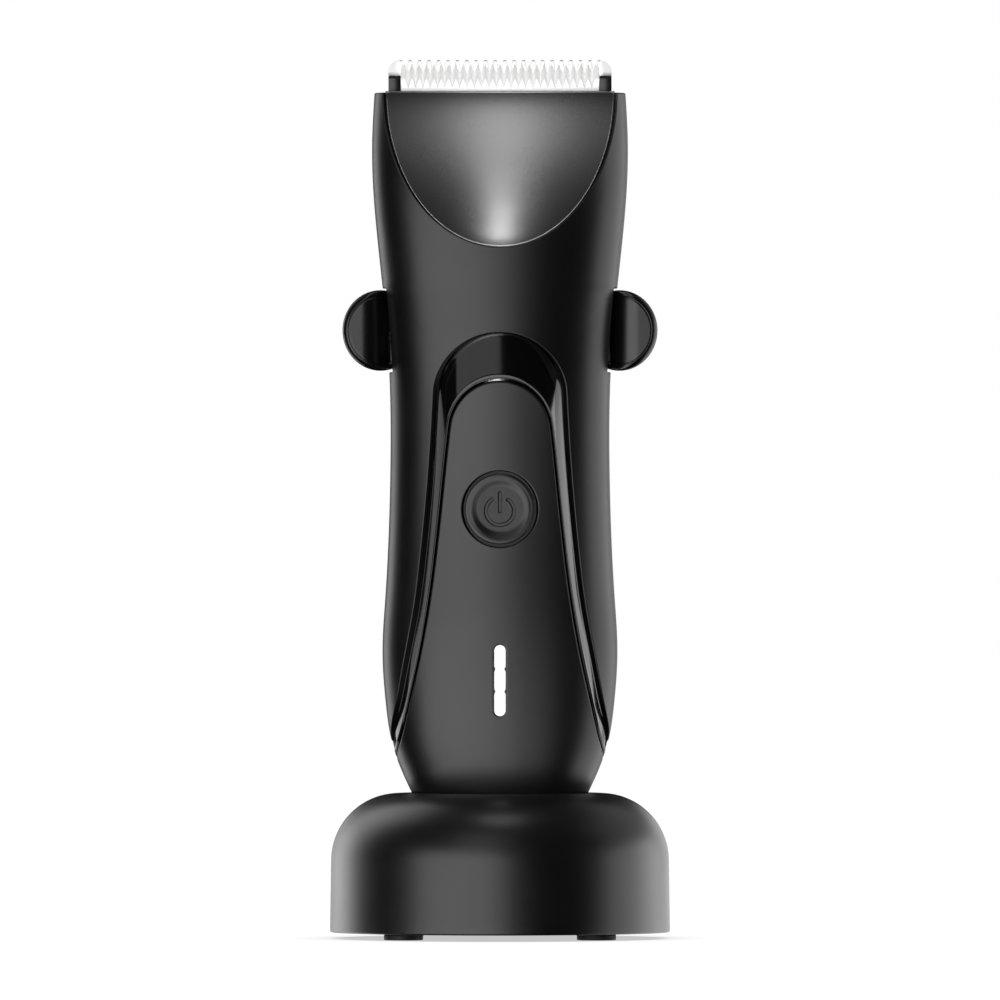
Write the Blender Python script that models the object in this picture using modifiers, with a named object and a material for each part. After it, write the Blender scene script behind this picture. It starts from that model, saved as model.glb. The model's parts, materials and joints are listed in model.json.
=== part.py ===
"""Body groomer standing in its charging dock, as an assembly of separate pieces.

Every size below is in millimetres and is turned into metres as a mesh is made.
+Z is up, the front with the power button faces -Y, and the origin is the point
on the table under the middle of the dock.
"""

import math

import bmesh
import bpy
import numpy as np
from mathutils import Matrix, Vector

MM = 0.001

# ---------------------------------------------------------------- driving sizes
GAP = 0.3                       # clearance between pieces that touch
WALL = 1.8                      # housing wall

DOCK_TOP = 29.0                 # the dock's top face
DOCK_RADIUS = 33.8              # where its side meets the top fillet
DOCK_FILLET = 13.5
DOCK_FLARE = 0.2                # the side spreads this much down to the rim
DOCK_RIM = 1.2                  # the shell's lower edge
DOCK_WALL = 2.2
FOOT_RADIUS = 3.9
FOOT_OFFSET = 19.2              # each foot's distance from the X and the Y axis

BODY_BOTTOM = 18.0              # the groomer's underside, down in the dock
BODY_TOP = 169.0                # the top of its housing
FILLET_TOP = 21.0               # where the rounding of the underside begins
BOTTOM_INSET = 4.0              # how far the underside's opening lies inside the body
SEAM = math.radians(96.0)       # the parting line between front and rear shells

ARCH_CENTRE = 107.4             # centre of the arch's round top
ARCH_RADIUS = 13.6
PANEL_CENTRE = 101.4            # the same for the panel inside it
PANEL_RADIUS = 10.1
BAND_RECESS = 1.1               # how deep the gloss band lies under the skin
BAND_WALL = 1.3

SCOOP_HALF = 23.2               # half-width of the scoop at the housing's top
SCOOP_DROP = 30.9               # how far the scoop reaches down
SCOOP_HOLLOW = 0.0035           # how strongly it is hollowed across its top
SCOOP_TIP = 0.018               # and how much more at its lower tip
NOTCH_HALF = 19.4               # the rear notch that the head's back fills
NOTCH_DROP = 19.0

BUTTON_Z = 85.8
BUTTON_RADIUS = 7.0
BUTTON_HOLE = 7.6
BUTTON_TRAVEL = 0.6
LAMP_Z = 51.6
LAMP_HALF_WIDTH = 1.1
LAMP_HALF_LENGTH = 7.0
LAMP_LEAN = math.radians(2.2)   # the skin leans forward this much at the lamp

KNOB_X = 23.9                   # centre of each side release button
KNOB_Z = 121.5
KNOB_HALF_WIDTH = 7.6
KNOB_HALF_HEIGHT = 8.05
KNOB_HALF_DEPTH = 3.5

COMB_HALF = 22.3                # fixed comb
COMB_TOP = 175.6
COMB_TEETH = 22
COMB_PITCH = 1.893
CUTTER_HALF = 19.75             # moving cutter
CUTTER_TOP = 174.8
CUTTER_TEETH = 27
CUTTER_PITCH = 1.468

PIN_OFFSET = 0.8                # the eccentric's throw, and so the cutter's stroke
USB_Z = 10.1

# The groomer's form: height, half-width, depth of the front and of the rear half.
STATIONS = (
    (18.0, 12.4, 8.6, 8.6),
    (24.0, 15.2, 10.3, 10.3),
    (30.0, 18.1, 12.0, 12.0),
    (38.0, 21.3, 13.6, 13.6),
    (47.0, 22.85, 14.6, 14.6),
    (57.5, 23.5, 15.0, 14.9),
    (68.0, 22.95, 14.8, 14.6),
    (80.0, 22.3, 14.3, 14.2),
    (96.0, 21.9, 14.0, 13.9),
    (112.0, 22.1, 14.0, 13.9),
    (132.0, 23.7, 14.4, 13.8),
    (146.0, 25.1, 14.6, 12.5),
    (158.0, 25.6, 14.4, 9.8),
    (169.0, 25.1, 14.2, 6.4),
)
ROUNDNESS = 2.15                # the cross-section's exponent; 2 is an ellipse

# The legs of the arch and of the panel: angle round the body, height.
ARCH_LEG = ((35.5, 109.8), (39.4, 92.0), (43.8, 75.6), (49.0, 61.6),
            (59.7, 50.0), (72.0, 43.9), (84.0, 40.9), (98.0, 38.6))
PANEL_LEG = ((25.1, 104.0), (28.5, 94.2), (34.0, 75.0), (39.9, 59.5),
             (48.5, 49.5), (61.7, 41.0), (79.0, 37.2), (98.0, 34.6))

COLLECTION = bpy.data.collections.new("body_groomer")
CUTTERS = bpy.data.collections.new("cutters")


# ---------------------------------------------------------------- the body's form
def smooth_through(knots, values):
    """The natural cubic spline through values at knots, as a function."""
    x = np.array(knots, float)
    y = np.array(values, float)
    step = np.diff(x)
    count = len(x)
    matrix = np.eye(count)
    right = np.zeros(count)
    for i in range(1, count - 1):
        matrix[i, i - 1:i + 2] = step[i - 1], 2 * (step[i - 1] + step[i]), step[i]
        right[i] = 6 * ((y[i + 1] - y[i]) / step[i] - (y[i] - y[i - 1]) / step[i - 1])
    bend = np.linalg.solve(matrix, right)

    def value(at):
        i = int(np.clip(np.searchsorted(x, at) - 1, 0, count - 2))
        low = (x[i + 1] - at) / step[i]
        high = (at - x[i]) / step[i]
        cubic = (low ** 3 - low) * bend[i] + (high ** 3 - high) * bend[i + 1]
        return low * y[i] + high * y[i + 1] + cubic * step[i] ** 2 / 6

    return value


HEIGHTS, HALF_WIDTHS, FRONTS, REARS = zip(*STATIONS)
half_width = smooth_through(HEIGHTS, HALF_WIDTHS)
front_depth = smooth_through(HEIGHTS, FRONTS)
rear_depth = smooth_through(HEIGHTS, REARS)


def skin(angle, z, inset=0.0):
    """The point of the groomer's outer form at an angle round it (0 is the front)."""
    side, ahead = math.sin(angle), math.cos(angle)
    depth = front_depth(z) if ahead > 0 else rear_depth(z)
    x = (half_width(z) - inset) * math.copysign(abs(side) ** (2 / ROUNDNESS), side)
    y = -(depth - inset) * math.copysign(abs(ahead) ** (2 / ROUNDNESS), ahead)
    return x, y, z


def angle_at(x, z):
    """The front angle at which the skin has that x."""
    return math.asin(min(1.0, abs(x) / half_width(z)) ** (ROUNDNESS / 2))


def underside(fraction):
    """Height, inset and tilt along the rounding of the groomer's underside."""
    turn = fraction * math.pi / 2
    z = FILLET_TOP - (FILLET_TOP - BODY_BOTTOM) * math.sin(turn)
    return z, BOTTOM_INSET * (1 - math.cos(turn)), turn


def evenly(points, count):
    """count + 1 points at even steps along a polyline."""
    points = np.array(points, float)
    lengths = np.r_[0, np.cumsum(np.linalg.norm(np.diff(points, axis=0), axis=1))]
    at = np.linspace(0, lengths[-1], count + 1)
    return np.column_stack([np.interp(at, lengths, points[:, i]) for i in range(2)])


def arch_line(centre, radius, leg, count):
    """(angle, height) points from an arch's top down one leg, past the seam."""
    top = []
    for step in range(13):
        turn = math.radians(90 - 78 * step / 12)
        z = centre + radius * math.sin(turn)
        top.append((angle_at(radius * math.cos(turn), z) * 22.0, z))
    angles, heights = zip(*leg)
    t = list(range(len(leg)))
    angle_of, height_of = smooth_through(t, angles), smooth_through(t, heights)
    down = [(math.radians(angle_of(s)) * 22.0, height_of(s))
            for s in np.linspace(0, len(leg) - 1, 60)]
    return [(a / 22.0, z) for a, z in evenly(top + down, count)]


def beside(line, distance):
    """An arch line moved outwards along the body by a distance."""
    points = np.array([(a * 22.0, z) for a, z in line])
    along = np.gradient(points, axis=0)
    along[0] = (1.0, 0.0)
    along /= np.linalg.norm(along, axis=1)[:, None]
    points += distance * np.column_stack([-along[:, 1], along[:, 0]])
    return [(max(0.0, a) / 22.0, z) for a, z in points]


def scoop_surface(x, z):
    """The y of the hollow front of the cutter head."""
    share = min(1.0, max(0.0, (BODY_TOP - z) / SCOOP_DROP))
    edge = SCOOP_HALF * math.sqrt(1 - share ** 2)
    hollow = (SCOOP_HOLLOW + SCOOP_TIP * share ** 3) * (edge ** 2 - x ** 2)
    return skin(angle_at(edge, z), z)[1] + hollow


# ---------------------------------------------------------------- making pieces
def material(name, colour, roughness, metallic=0.0):
    made = bpy.data.materials.new(name)
    made.use_nodes = True
    shader = made.node_tree.nodes["Principled BSDF"]
    shader.inputs["Base Color"].default_value = (*colour, 1.0)
    shader.inputs["Roughness"].default_value = roughness
    shader.inputs["Metallic"].default_value = metallic
    return made


def object_of(mesh, name, matter, smooth=True):
    mesh.name = name
    mesh.materials.clear()
    mesh.materials.append(matter)
    if smooth:
        mesh.shade_smooth()
        mesh.set_sharp_from_angle(angle=math.radians(35))
    made = bpy.data.objects.new(name, mesh)
    COLLECTION.objects.link(made)
    return made


def mesh_of(work):
    mesh = bpy.data.meshes.new("mesh")
    work.to_mesh(mesh)
    work.free()
    return mesh


def grid(rows):
    """An open surface through rows of points, each row as long as the next."""
    work = bmesh.new()
    net = [[work.verts.new(Vector(p) * MM) for p in row] for row in rows]
    for above, below in zip(net, net[1:]):
        for i in range(len(above) - 1):
            work.faces.new((above[i], below[i], below[i + 1], above[i + 1]))
    bmesh.ops.remove_doubles(work, verts=work.verts, dist=1e-5)
    return work


def face_out(work, toward):
    """Turns an open surface so that its faces look along a direction."""
    if sum(f.normal.dot(Vector(toward)) * f.calc_area() for f in work.faces) < 0:
        bmesh.ops.reverse_faces(work, faces=work.faces)


def shell(name, rows, matter, wall, toward):
    """A surface through rows of points, thickened by a wall on its far side."""
    work = grid(rows)
    work.normal_update()
    face_out(work, toward)
    made = object_of(mesh_of(work), name, matter)
    solidify = made.modifiers.new("wall", "SOLIDIFY")
    solidify.thickness = wall * MM
    solidify.offset = -1.0
    return made


def walled(name, rows, matter, wall=WALL, above=0.0):
    """A piece of the body's wall, from rows of (angle, height, inset, tilt) on its form.

    The wall lies inside the form, and tilt is how far it has turned towards the
    underside. Its edges follow the form's own angles, so that neighbours stay apart.
    """
    work = bmesh.new()
    layers = []
    for depth in (-above, wall):
        layers.append([[work.verts.new(Vector(skin(angle, z + depth * math.sin(tilt),
                                                   inset + depth * math.cos(tilt))) * MM)
                        for angle, z, inset, tilt in row] for row in rows])
    outer, inner = layers
    for net, order in ((outer, 1), (inner, -1)):
        for above_row, below_row in zip(net, net[1:]):
            for i in range(len(above_row) - 1):
                face = (above_row[i], below_row[i], below_row[i + 1], above_row[i + 1])
                work.faces.new(face[::order])
    outside, inside = (net[0] + [row[-1] for row in net[1:]] + net[-1][-2::-1]
                       + [row[0] for row in net[-2:0:-1]] for net in layers)
    for i in range(len(outside)):
        work.faces.new((outside[i - 1], outside[i], inside[i], inside[i - 1]))
    bmesh.ops.recalc_face_normals(work, faces=work.faces)
    return object_of(mesh_of(work), name, matter)


def plate(name, rows, matter, push):
    """A surface through rows of points, extruded straight by push."""
    work = grid(rows)
    work.normal_update()
    face_out(work, [-p for p in push])
    made = bmesh.ops.extrude_face_region(work, geom=work.faces[:])
    moved = [v for v in made["geom"] if isinstance(v, bmesh.types.BMVert)]
    bmesh.ops.translate(work, verts=moved, vec=Vector(push) * MM)
    bmesh.ops.recalc_face_normals(work, faces=work.faces)
    return object_of(mesh_of(work), name, matter)


def box(name, low, high, matter, bevel=0.0):
    work = bmesh.new()
    bmesh.ops.create_cube(work, size=1.0)
    size = Vector(high) - Vector(low)
    middle = (Vector(high) + Vector(low)) / 2
    bmesh.ops.transform(work, verts=work.verts,
                        matrix=Matrix.Translation(middle * MM) @ Matrix.Diagonal((*size * MM, 1)))
    made = object_of(mesh_of(work), name, matter, smooth=False)
    if bevel:
        edge = made.modifiers.new("edge", "BEVEL")
        edge.width = bevel * MM
        edge.segments = 2
    return made


def turned(name, profile, matter, centre=(0, 0, 0), axis="Z", steps=24, segments_closed=True):
    """A solid of revolution: profile is (radius, height) from the top down its outer side."""
    work = bmesh.new()
    points = [work.verts.new((r * MM, 0, h * MM)) for r, h in profile]
    for a, b in zip(points, points[1:]):
        work.edges.new((a, b))
    if segments_closed:
        work.edges.new((points[-1], points[0]))
    made = object_of(mesh_of(work), name, matter)
    spin = made.modifiers.new("turn", "SCREW")
    spin.steps = spin.render_steps = steps
    spin.use_merge_vertices = True
    spin.merge_threshold = 0.00002
    made.location = Vector(centre) * MM
    made.rotation_euler = {"Z": (0, 0, 0), "-Y": (math.pi / 2, 0, 0)}[axis]
    return made


def rod(radius, low, high):
    """The profile of a plain cylinder for turned()."""
    return ((0, high), (radius, high), (radius, low), (0, low))


def tube(inner, outer, low, high):
    """The profile of a plain ring for turned()."""
    return ((inner, high), (outer, high), (outer, low), (inner, low))


def outline(name, points, matter, low, high, upright=False):
    """A flat outline extruded from low to high: along Z, or along Y when upright."""
    curve = bpy.data.curves.new(name, "CURVE")
    curve.dimensions = "2D"
    curve.fill_mode = "BOTH"
    curve.extrude = (high - low) / 2 * MM
    spline = curve.splines.new("POLY")
    spline.points.add(len(points) - 1)
    for point, (u, v) in zip(spline.points, points):
        point.co = (u * MM, v * MM, 0, 1)
    spline.use_cyclic_u = True
    drawn = bpy.data.objects.new(name, curve)
    COLLECTION.objects.link(drawn)
    if upright:
        drawn.rotation_euler = (math.pi / 2, 0, 0)
        drawn.location = (0, (high + low) / 2 * MM, 0)
    else:
        drawn.location = (0, 0, (high + low) / 2 * MM)
    return to_mesh(drawn, matter)


def to_mesh(drawn, matter):
    """Replaces a curve object by the closed mesh that it draws."""
    bpy.context.view_layer.update()
    graph = bpy.context.evaluated_depsgraph_get()
    mesh = bpy.data.meshes.new_from_object(drawn.evaluated_get(graph))
    mesh.transform(drawn.matrix_world)
    work = bmesh.new()
    work.from_mesh(mesh)
    bmesh.ops.remove_doubles(work, verts=work.verts, dist=1e-6)
    bmesh.ops.recalc_face_normals(work, faces=work.faces)
    name = drawn.name
    old = drawn.data
    bpy.data.objects.remove(drawn)
    bpy.data.curves.remove(old)
    return object_of(mesh_of(work), name, matter)


def wire(name, points, radius, matter):
    """A round wire through points."""
    curve = bpy.data.curves.new(name, "CURVE")
    curve.dimensions = "3D"
    curve.bevel_depth = radius * MM
    curve.bevel_resolution = 1
    curve.use_fill_caps = True
    spline = curve.splines.new("POLY")
    spline.points.add(len(points) - 1)
    for point, place in zip(spline.points, points):
        point.co = (*Vector(place) * MM, 1)
    curve.materials.append(matter)
    made = bpy.data.objects.new(name, curve)
    COLLECTION.objects.link(made)
    return made


def combine(made, others, operation="UNION"):
    """Joins others to a piece, or cuts them from it; the others become helpers."""
    for other in others:
        step = made.modifiers.new(other.name, "BOOLEAN")
        step.operation = operation
        step.solver = "EXACT"
        step.object = other
        if other.name not in CUTTERS.objects:
            other.hide_render = True
            other.display_type = "WIRE"
            COLLECTION.objects.unlink(other)
            CUTTERS.objects.link(other)
    return made


def cut(made, *others):
    return combine(made, others, "DIFFERENCE")


def oval(half_x, half_y, count=28):
    """Points round a flat section of the body's own roundness."""
    points = []
    for i in range(count):
        turn = math.tau * (i + 0.5) / count
        c, s = math.cos(turn), math.sin(turn)
        points.append((half_x * math.copysign(abs(c) ** (2 / ROUNDNESS), c),
                       half_y * math.copysign(abs(s) ** (2 / ROUNDNESS), s)))
    return points


# ---------------------------------------------------------------- housing
def rows_inside(line, columns):
    """Rows across the front from one side of an arch line to the other."""
    return [across(max(angle, 0.01), z, columns) for angle, z in line]


def across(half, z, columns, inset=0.0, tilt=0.0):
    """A row across the front between two equal angles."""
    return [(half * (2 * i / columns - 1), z, inset, tilt) for i in range(columns + 1)]


def behind(seam, z, columns, inset=0.0, tilt=0.0):
    """A row round the back from seam to seam."""
    return [(seam + (math.tau - 2 * seam) * i / columns, z, inset, tilt) for i in range(columns + 1)]


def housing(matter, gloss):
    """The front and rear shells, the gloss band and the control panel."""
    arch = arch_line(ARCH_CENTRE, ARCH_RADIUS, ARCH_LEG, 20)
    panel = arch_line(PANEL_CENTRE, PANEL_RADIUS, PANEL_LEG, 20)
    rounding = [underside(step / 3) for step in range(1, 4)]

    rows = [across(SEAM, z, 14) for z in np.linspace(BODY_TOP, 38.0, 15)]
    front = walled("front_shell", rows, matter)
    below = [*arch, (arch[-1][0], 36.0)]
    opening = walled("arch_opening", rows_inside(below, 10), matter, wall=5.0, above=3.0)
    cut(front, opening, scoop_cutter(matter))

    # the band lies between the arch and the panel, under the skin
    leg = []
    for (a0, z0), (a1, z1) in zip(beside(panel, 1.5 * GAP), beside(arch, -GAP)):
        leg.append([(a0 + (a1 - a0) * t / 2, z0 + (z1 - z0) * t / 2, BAND_RECESS, 0.0) for t in range(3)])
    leg = [row for row in leg if row[-1][0] < SEAM]
    other = [[(-a, z, inset, tilt) for a, z, inset, tilt in row] for row in reversed(leg[1:])]
    walled("gloss_band", other + leg, gloss, wall=BAND_WALL)

    rows = rows_inside([(a, z) for a, z in panel if a < SEAM], 10)
    rows += [across(SEAM, z, 10) for z in np.linspace(34.0, FILLET_TOP, 4)]
    rows += [across(SEAM, z, 10, inset, tilt) for z, inset, tilt in rounding]
    front_panel = walled("front_panel", rows, matter)
    cut(front_panel, button_hole(matter), lamp_slot(matter))

    seam = SEAM + 0.016
    rows = [behind(seam, z, 12) for z in np.linspace(BODY_TOP, FILLET_TOP, 15)]
    rows += [behind(seam, z, 12, inset, tilt) for z, inset, tilt in rounding]
    rear_shell = walled("rear_shell", rows, matter)
    cut(rear_shell, notch_cutter(matter))
    for made in (front, rear_shell):
        cut(made, knob_slot(matter, -1), knob_slot(matter, 1))


def scoop_cutter(matter):
    points = [(SCOOP_HALF * math.sin(t), BODY_TOP - SCOOP_DROP * math.cos(t))
              for t in np.linspace(-math.pi / 2, math.pi / 2, 29)]
    points = [*points, (SCOOP_HALF, BODY_TOP + 5), (-SCOOP_HALF, BODY_TOP + 5)]
    return outline("scoop_cutter", points, matter, -20.0, 0.0, upright=True)


def notch_line(half, drop, count=20):
    """The rear notch: a squarish half oval hanging from the housing's top."""
    points = []
    for t in np.linspace(-math.pi / 2, math.pi / 2, count + 1):
        s, c = math.sin(t), math.cos(t)
        points.append((half * math.copysign(abs(s) ** 0.6, s), BODY_TOP - drop * abs(c) ** 0.6))
    return points


def notch_cutter(matter):
    points = notch_line(NOTCH_HALF, NOTCH_DROP)
    points = [*points, (NOTCH_HALF, BODY_TOP + 5), (-NOTCH_HALF, BODY_TOP + 5)]
    return outline("notch_cutter", points, matter, 2.2, 20.0, upright=True)


def button_hole(matter):
    return turned("button_hole", rod(BUTTON_HOLE, 5.0, 20.0), matter,
                  centre=(0, 0, BUTTON_Z), axis="-Y", steps=24)


def pill(half_width, half_length, count=7):
    """A slot shape, upright, as (x, z) points."""
    points = []
    for end in (1, -1):
        for t in np.linspace(0, math.pi, count):
            points.append((end * half_width * math.cos(t),
                           end * (half_length - half_width + half_width * math.sin(t))))
    return points


def lamp_slot(matter):
    points = [(x, z + LAMP_Z) for x, z in pill(LAMP_HALF_WIDTH + GAP, LAMP_HALF_LENGTH + GAP)]
    return outline("lamp_slot", points, matter, -20.0, -5.0, upright=True)


def knob_slot(matter, side):
    x = sorted((side * 15.0, side * 30.0))
    half_y = KNOB_HALF_DEPTH + GAP
    half_z = KNOB_HALF_HEIGHT + GAP
    return box(f"knob_slot_{side}", (x[0], -half_y, KNOB_Z - half_z),
               (x[1], half_y, KNOB_Z + half_z), matter)


def bottom_cap(matter, contact):
    half_x = half_width(BODY_BOTTOM) - BOTTOM_INSET - 0.6
    half_y = front_depth(BODY_BOTTOM) - BOTTOM_INSET - 0.6
    cap = outline("bottom_cap", oval(half_x, half_y), matter, BODY_BOTTOM, BODY_BOTTOM + 1.6)
    for side, word in ((-1, "left"), (1, "right")):
        hole = turned(f"contact_hole_{word}", rod(1.6, 10, 30), matter, (side * 4.0, 0, 0), steps=16)
        cut(cap, hole)
        turned(f"charge_contact_{word}", rod(1.3, BODY_BOTTOM, BODY_BOTTOM + 3.0), contact,
               (side * 4.0, 0, 0), steps=16)


# ---------------------------------------------------------------- controls
def power_button(matter):
    """A dished cap with a retaining flange and a stem that meets the switch."""
    dish = [(BUTTON_RADIUS - 0.85, 14.05), (BUTTON_RADIUS - 1.9, 13.65), (3.2, 13.35), (0, 13.3)]
    rim = [(BUTTON_RADIUS - 0.7, 14.25), (BUTTON_RADIUS - 0.25, 14.25), (BUTTON_RADIUS, 14.0)]
    back = [(BUTTON_RADIUS, 11.3), (8.4, 11.3), (8.4, 10.9), (1.5, 10.9), (1.5, 9.9), (0, 9.9)]
    profile = [*reversed(dish), *rim, *back]
    turned("power_button", profile, matter, (0, 0, BUTTON_Z), axis="-Y", steps=24)


def button_membrane(matter):
    profile = ((2.2, 10.0), (8.4, 10.0), (8.4, 8.5), (7.6, 8.5), (7.6, 9.5), (2.2, 9.5))
    turned("button_membrane", profile, matter, (0, 0, BUTTON_Z), axis="-Y", steps=20)


def light_pipe(matter):
    points = pill(LAMP_HALF_WIDTH, LAMP_HALF_LENGTH)
    made = outline("light_pipe", points, matter, -14.62, -9.6, upright=True)
    middle = Vector((0, -14.6, 0)) * MM
    lean = Matrix.Rotation(LAMP_LEAN, 4, "X") @ Matrix.Translation(-middle)
    made.data.transform(Matrix.Translation(middle + Vector((0, 0, LAMP_Z * MM))) @ lean)


def release_button(matter, spring, side, word):
    """A round finger button on a stem, with the arm and hook that hold the head."""
    x = side * KNOB_X
    disc = turned(f"disc_{word}", ((0, 3.5), (7.0, 3.5), (8.05, 2.7), (8.05, -2.7), (7.0, -3.5), (0, -3.5)),
                  matter, (x, 0, KNOB_Z), axis="-Y", steps=28)
    disc.scale = (KNOB_HALF_WIDTH / KNOB_HALF_HEIGHT, 1, 1)
    low, high = span(side, 0, 18.6)
    trim = box(f"disc_trim_{word}", (low, -9, 100), (high, 9, 150), matter)
    low, high = span(side, 16.6, 18.9)
    made = box(f"release_button_{word}", (low, -2.2, 117.0), (high, 2.2, 146.0), matter)
    cut(disc, trim)
    low, high = span(side, 18.0, 20.1)
    hook = box(f"hook_{word}", (low, -2.2, 143.5), (high, 2.2, 145.4), matter)
    combine(made, [disc, hook])

    turns, per_turn = 3.5, 8
    steps = int(turns * per_turn)
    coil = []
    for i in range(steps + 1):
        turn = math.tau * i / per_turn
        along = side * (13.6 + 2.4 * i / steps)
        coil.append((along, 1.8 * math.cos(turn), KNOB_Z + 1.8 * math.sin(turn)))
    wire(f"release_spring_{word}", coil, 0.2, spring)


def span(side, near, far):
    """The low and high x of a stretch on one side."""
    return sorted((side * near, side * far))


# ---------------------------------------------------------------- inside the groomer
def chassis(matter):
    """A ladder of two rails and three bulkheads that holds the motor and the cell."""
    made = box("chassis", (10.9, -6.6, 36.6), (13.1, 5.0, 129.2), matter)
    parts = [box("rail", (-13.1, -6.6, 36.6), (-10.9, 5.0, 129.2), matter)]
    for i, z in enumerate((36.0, 84.5, 127.6)):
        parts.append(box(f"bulkhead_{i}", (-12.0, -6.0, z), (12.0, 6.0, z + 2.4), matter))
    combine(made, parts)
    cut(made, turned("shaft_hole", rod(4.2, 120, 140), matter, steps=20))
    return made


def drive(steel, matter):
    """The motor, and the eccentric that its shaft turns."""
    turned("motor", ((1.4, 127.0), (3.2, 127.0), (3.2, 125.8), (8.4, 125.8), (9.0, 125.2), (9.0, 97.6),
                     (8.4, 97.0), (0, 97.0), (0, 121.0), (1.4, 121.0)), steel, steps=20)
    turned("motor_shaft", rod(1.0, 121.5, 135.6), steel, steps=12)
    hub = turned("eccentric_cam", ((0, 138.4), (3.4, 138.4), (3.4, 130.6), (1.3, 130.6), (1.3, 136.0), (0, 136.0)),
                 matter, steps=20)
    pin = turned("eccentric_pin", rod(1.0, 137.0, 147.2), matter, (0, PIN_OFFSET, 0), steps=16)
    combine(hub, [pin])


def electronics(board_matter, cell, black, lamp):
    board = box("main_pcb", (-13.5, -8.2, 40.0), (13.5, -7.0, 95.5), board_matter)
    turned("battery_cell", ((0, 81.2), (2.6, 81.2), (2.6, 80.4), (6.4, 80.4), (7.0, 79.8), (7.0, 39.6),
                            (6.6, 39.0), (0, 39.0)), cell, (0, 2.8, 0), steps=18)
    box("tact_switch", (-3.0, -9.1, BUTTON_Z - 3.0), (3.0, -8.5, BUTTON_Z + 3.0), black)
    box("led_strip", (-1.0, -9.2, LAMP_Z - 6.0), (1.0, -8.5, LAMP_Z + 6.0), lamp)
    return board


def board_screws(board, frame, steel):
    spots = [(side * 11.7, z) for z in (44.0, 92.0) for side in (-1, 1)]
    for number, (x, z) in enumerate(spots, 1):
        profile = ((0, 9.0), (1.3, 9.0), (1.6, 8.5), (0.7, 8.5), (0.7, 3.5), (0, 3.5))
        turned(f"board_screw_{number}", profile, steel, (x, 0, z), axis="-Y", steps=12)
        hole = turned(f"board_hole_{number}", rod(1.0, 3.0, 12.0), steel, (x, 0, z), axis="-Y", steps=12)
        cut(board, hole)
        cut(frame, hole)


def upper_deck(matter, rubber):
    """The plate that closes the handle under the head, and its shaft seal."""
    half_x = half_width(133.0) - WALL - 0.9
    half_y = 13.8 - WALL - 0.9
    deck = outline("upper_deck", oval(half_x, half_y), matter, 132.0, 133.8)
    cut(deck, turned("deck_hole", rod(5.4, 125, 140), matter, steps=20))
    for side in (-1, 1):
        low, high = span(side, 14.0, 19.4)
        cut(deck, box(f"arm_slot_{side}", (low, -2.8, 125), (high, 2.8, 140), matter))
    turned("shaft_seal", ((3.9, 135.0), (6.6, 135.0), (7.0, 134.1), (4.6, 134.1), (3.9, 134.5)), rubber, steps=24)


# ---------------------------------------------------------------- cutter head
def head(matter, steel):
    """The head that lifts off: hollow front, back, frame and blade spring."""
    rows = []
    for t in np.linspace(math.radians(86.0), 0.0, 12):
        z = BODY_TOP - (SCOOP_DROP - GAP) * math.sin(t)
        half = (SCOOP_HALF - GAP) * math.cos(t)
        rows.append([(x, scoop_surface(x, z) + 0.1, z) for x in np.linspace(-half, half, 15)])
    plate("head_cover", rows, matter, (0, 1.6, 0))

    rows = []
    for half, z in notch_line(NOTCH_HALF - GAP, NOTCH_DROP - GAP)[11:]:
        rows.append([(x, rear_surface(x, z), z) for x in np.linspace(-half, half, 13)])
    plate("head_back", rows, matter, (0, -1.4, 0))

    # what lifts past the rear shell's narrow top stays forward of it
    forward = 1.2
    frame = box("head_frame", (-18.6, 1.6, 152.0), (18.6, 2.4, 170.6), matter)
    parts = [box("shoulder", (-18.4, 0.15, 151.2), (18.4, 2.35, 159.4), matter),
             box("cross_bar", (-22.2, 0.1, 151.4), (22.2, forward - 0.05, 159.2), matter)]
    for side in (-1, 1):
        low, high = span(side, 19.9, 22.3)
        parts.append(box(f"bracket_{side}", (low, -2.6, 156.0), (high, -1.2, 172.4), matter))
        parts.append(box(f"cheek_{side}", (low, -2.5, 150.0), (high, forward, 159.6), matter))
        low, high = span(side, 20.5, 22.25)
        parts.append(box(f"skirt_{side}", (low, -2.2, 141.5), (high, forward - 0.1, 151.0), matter))
    shelf = [(x, rear_surface(x, 168.9) - 1.4 - GAP) for x in np.linspace(-18.4, 18.4, 11)]
    parts.append(outline("shelf", [*shelf, (18.4, 1.9), (-18.4, 1.9)], matter, 167.0, 168.8))
    combine(frame, parts)

    path = [(-19.5, -2.0, 158.2), (-12.0, -2.4, 161.0), (-5.0, -2.45, 163.4), (5.0, -2.45, 163.4),
            (12.0, -2.4, 161.0), (19.5, -2.0, 158.2)]
    wire("blade_spring", path, 0.3, steel)
    return frame


def rear_surface(x, z):
    """The y of the body's rear skin at that x."""
    return rear_depth(z) * (1 - (abs(x) / half_width(z)) ** ROUNDNESS) ** (1 / ROUNDNESS)


def comb_outline():
    """The fixed comb: tapered teeth between two round shoulders."""
    corner = 2.5
    flank = ((0.7, COMB_TOP), (0.45, 174.7), (0.34, 173.2), (0.3, 171.0), (0.0, 170.7))
    points = [(-COMB_HALF, 159.9)]
    for t in np.linspace(math.pi, 0.5 * math.pi, 6):
        points.append((-COMB_HALF + corner + corner * math.cos(t), COMB_TOP - corner + corner * math.sin(t)))
    for i in range(COMB_TEETH - 1):
        x = COMB_PITCH * (i - (COMB_TEETH - 2) / 2)
        points += [(x - half, z) for half, z in flank]
        points += [(x + half, z) for half, z in reversed(flank[:-1])]
    for t in np.linspace(0.5 * math.pi, 0, 6):
        points.append((COMB_HALF - corner + corner * math.cos(t), COMB_TOP - corner + corner * math.sin(t)))
    return [*points, (COMB_HALF, 159.9)]


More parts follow.
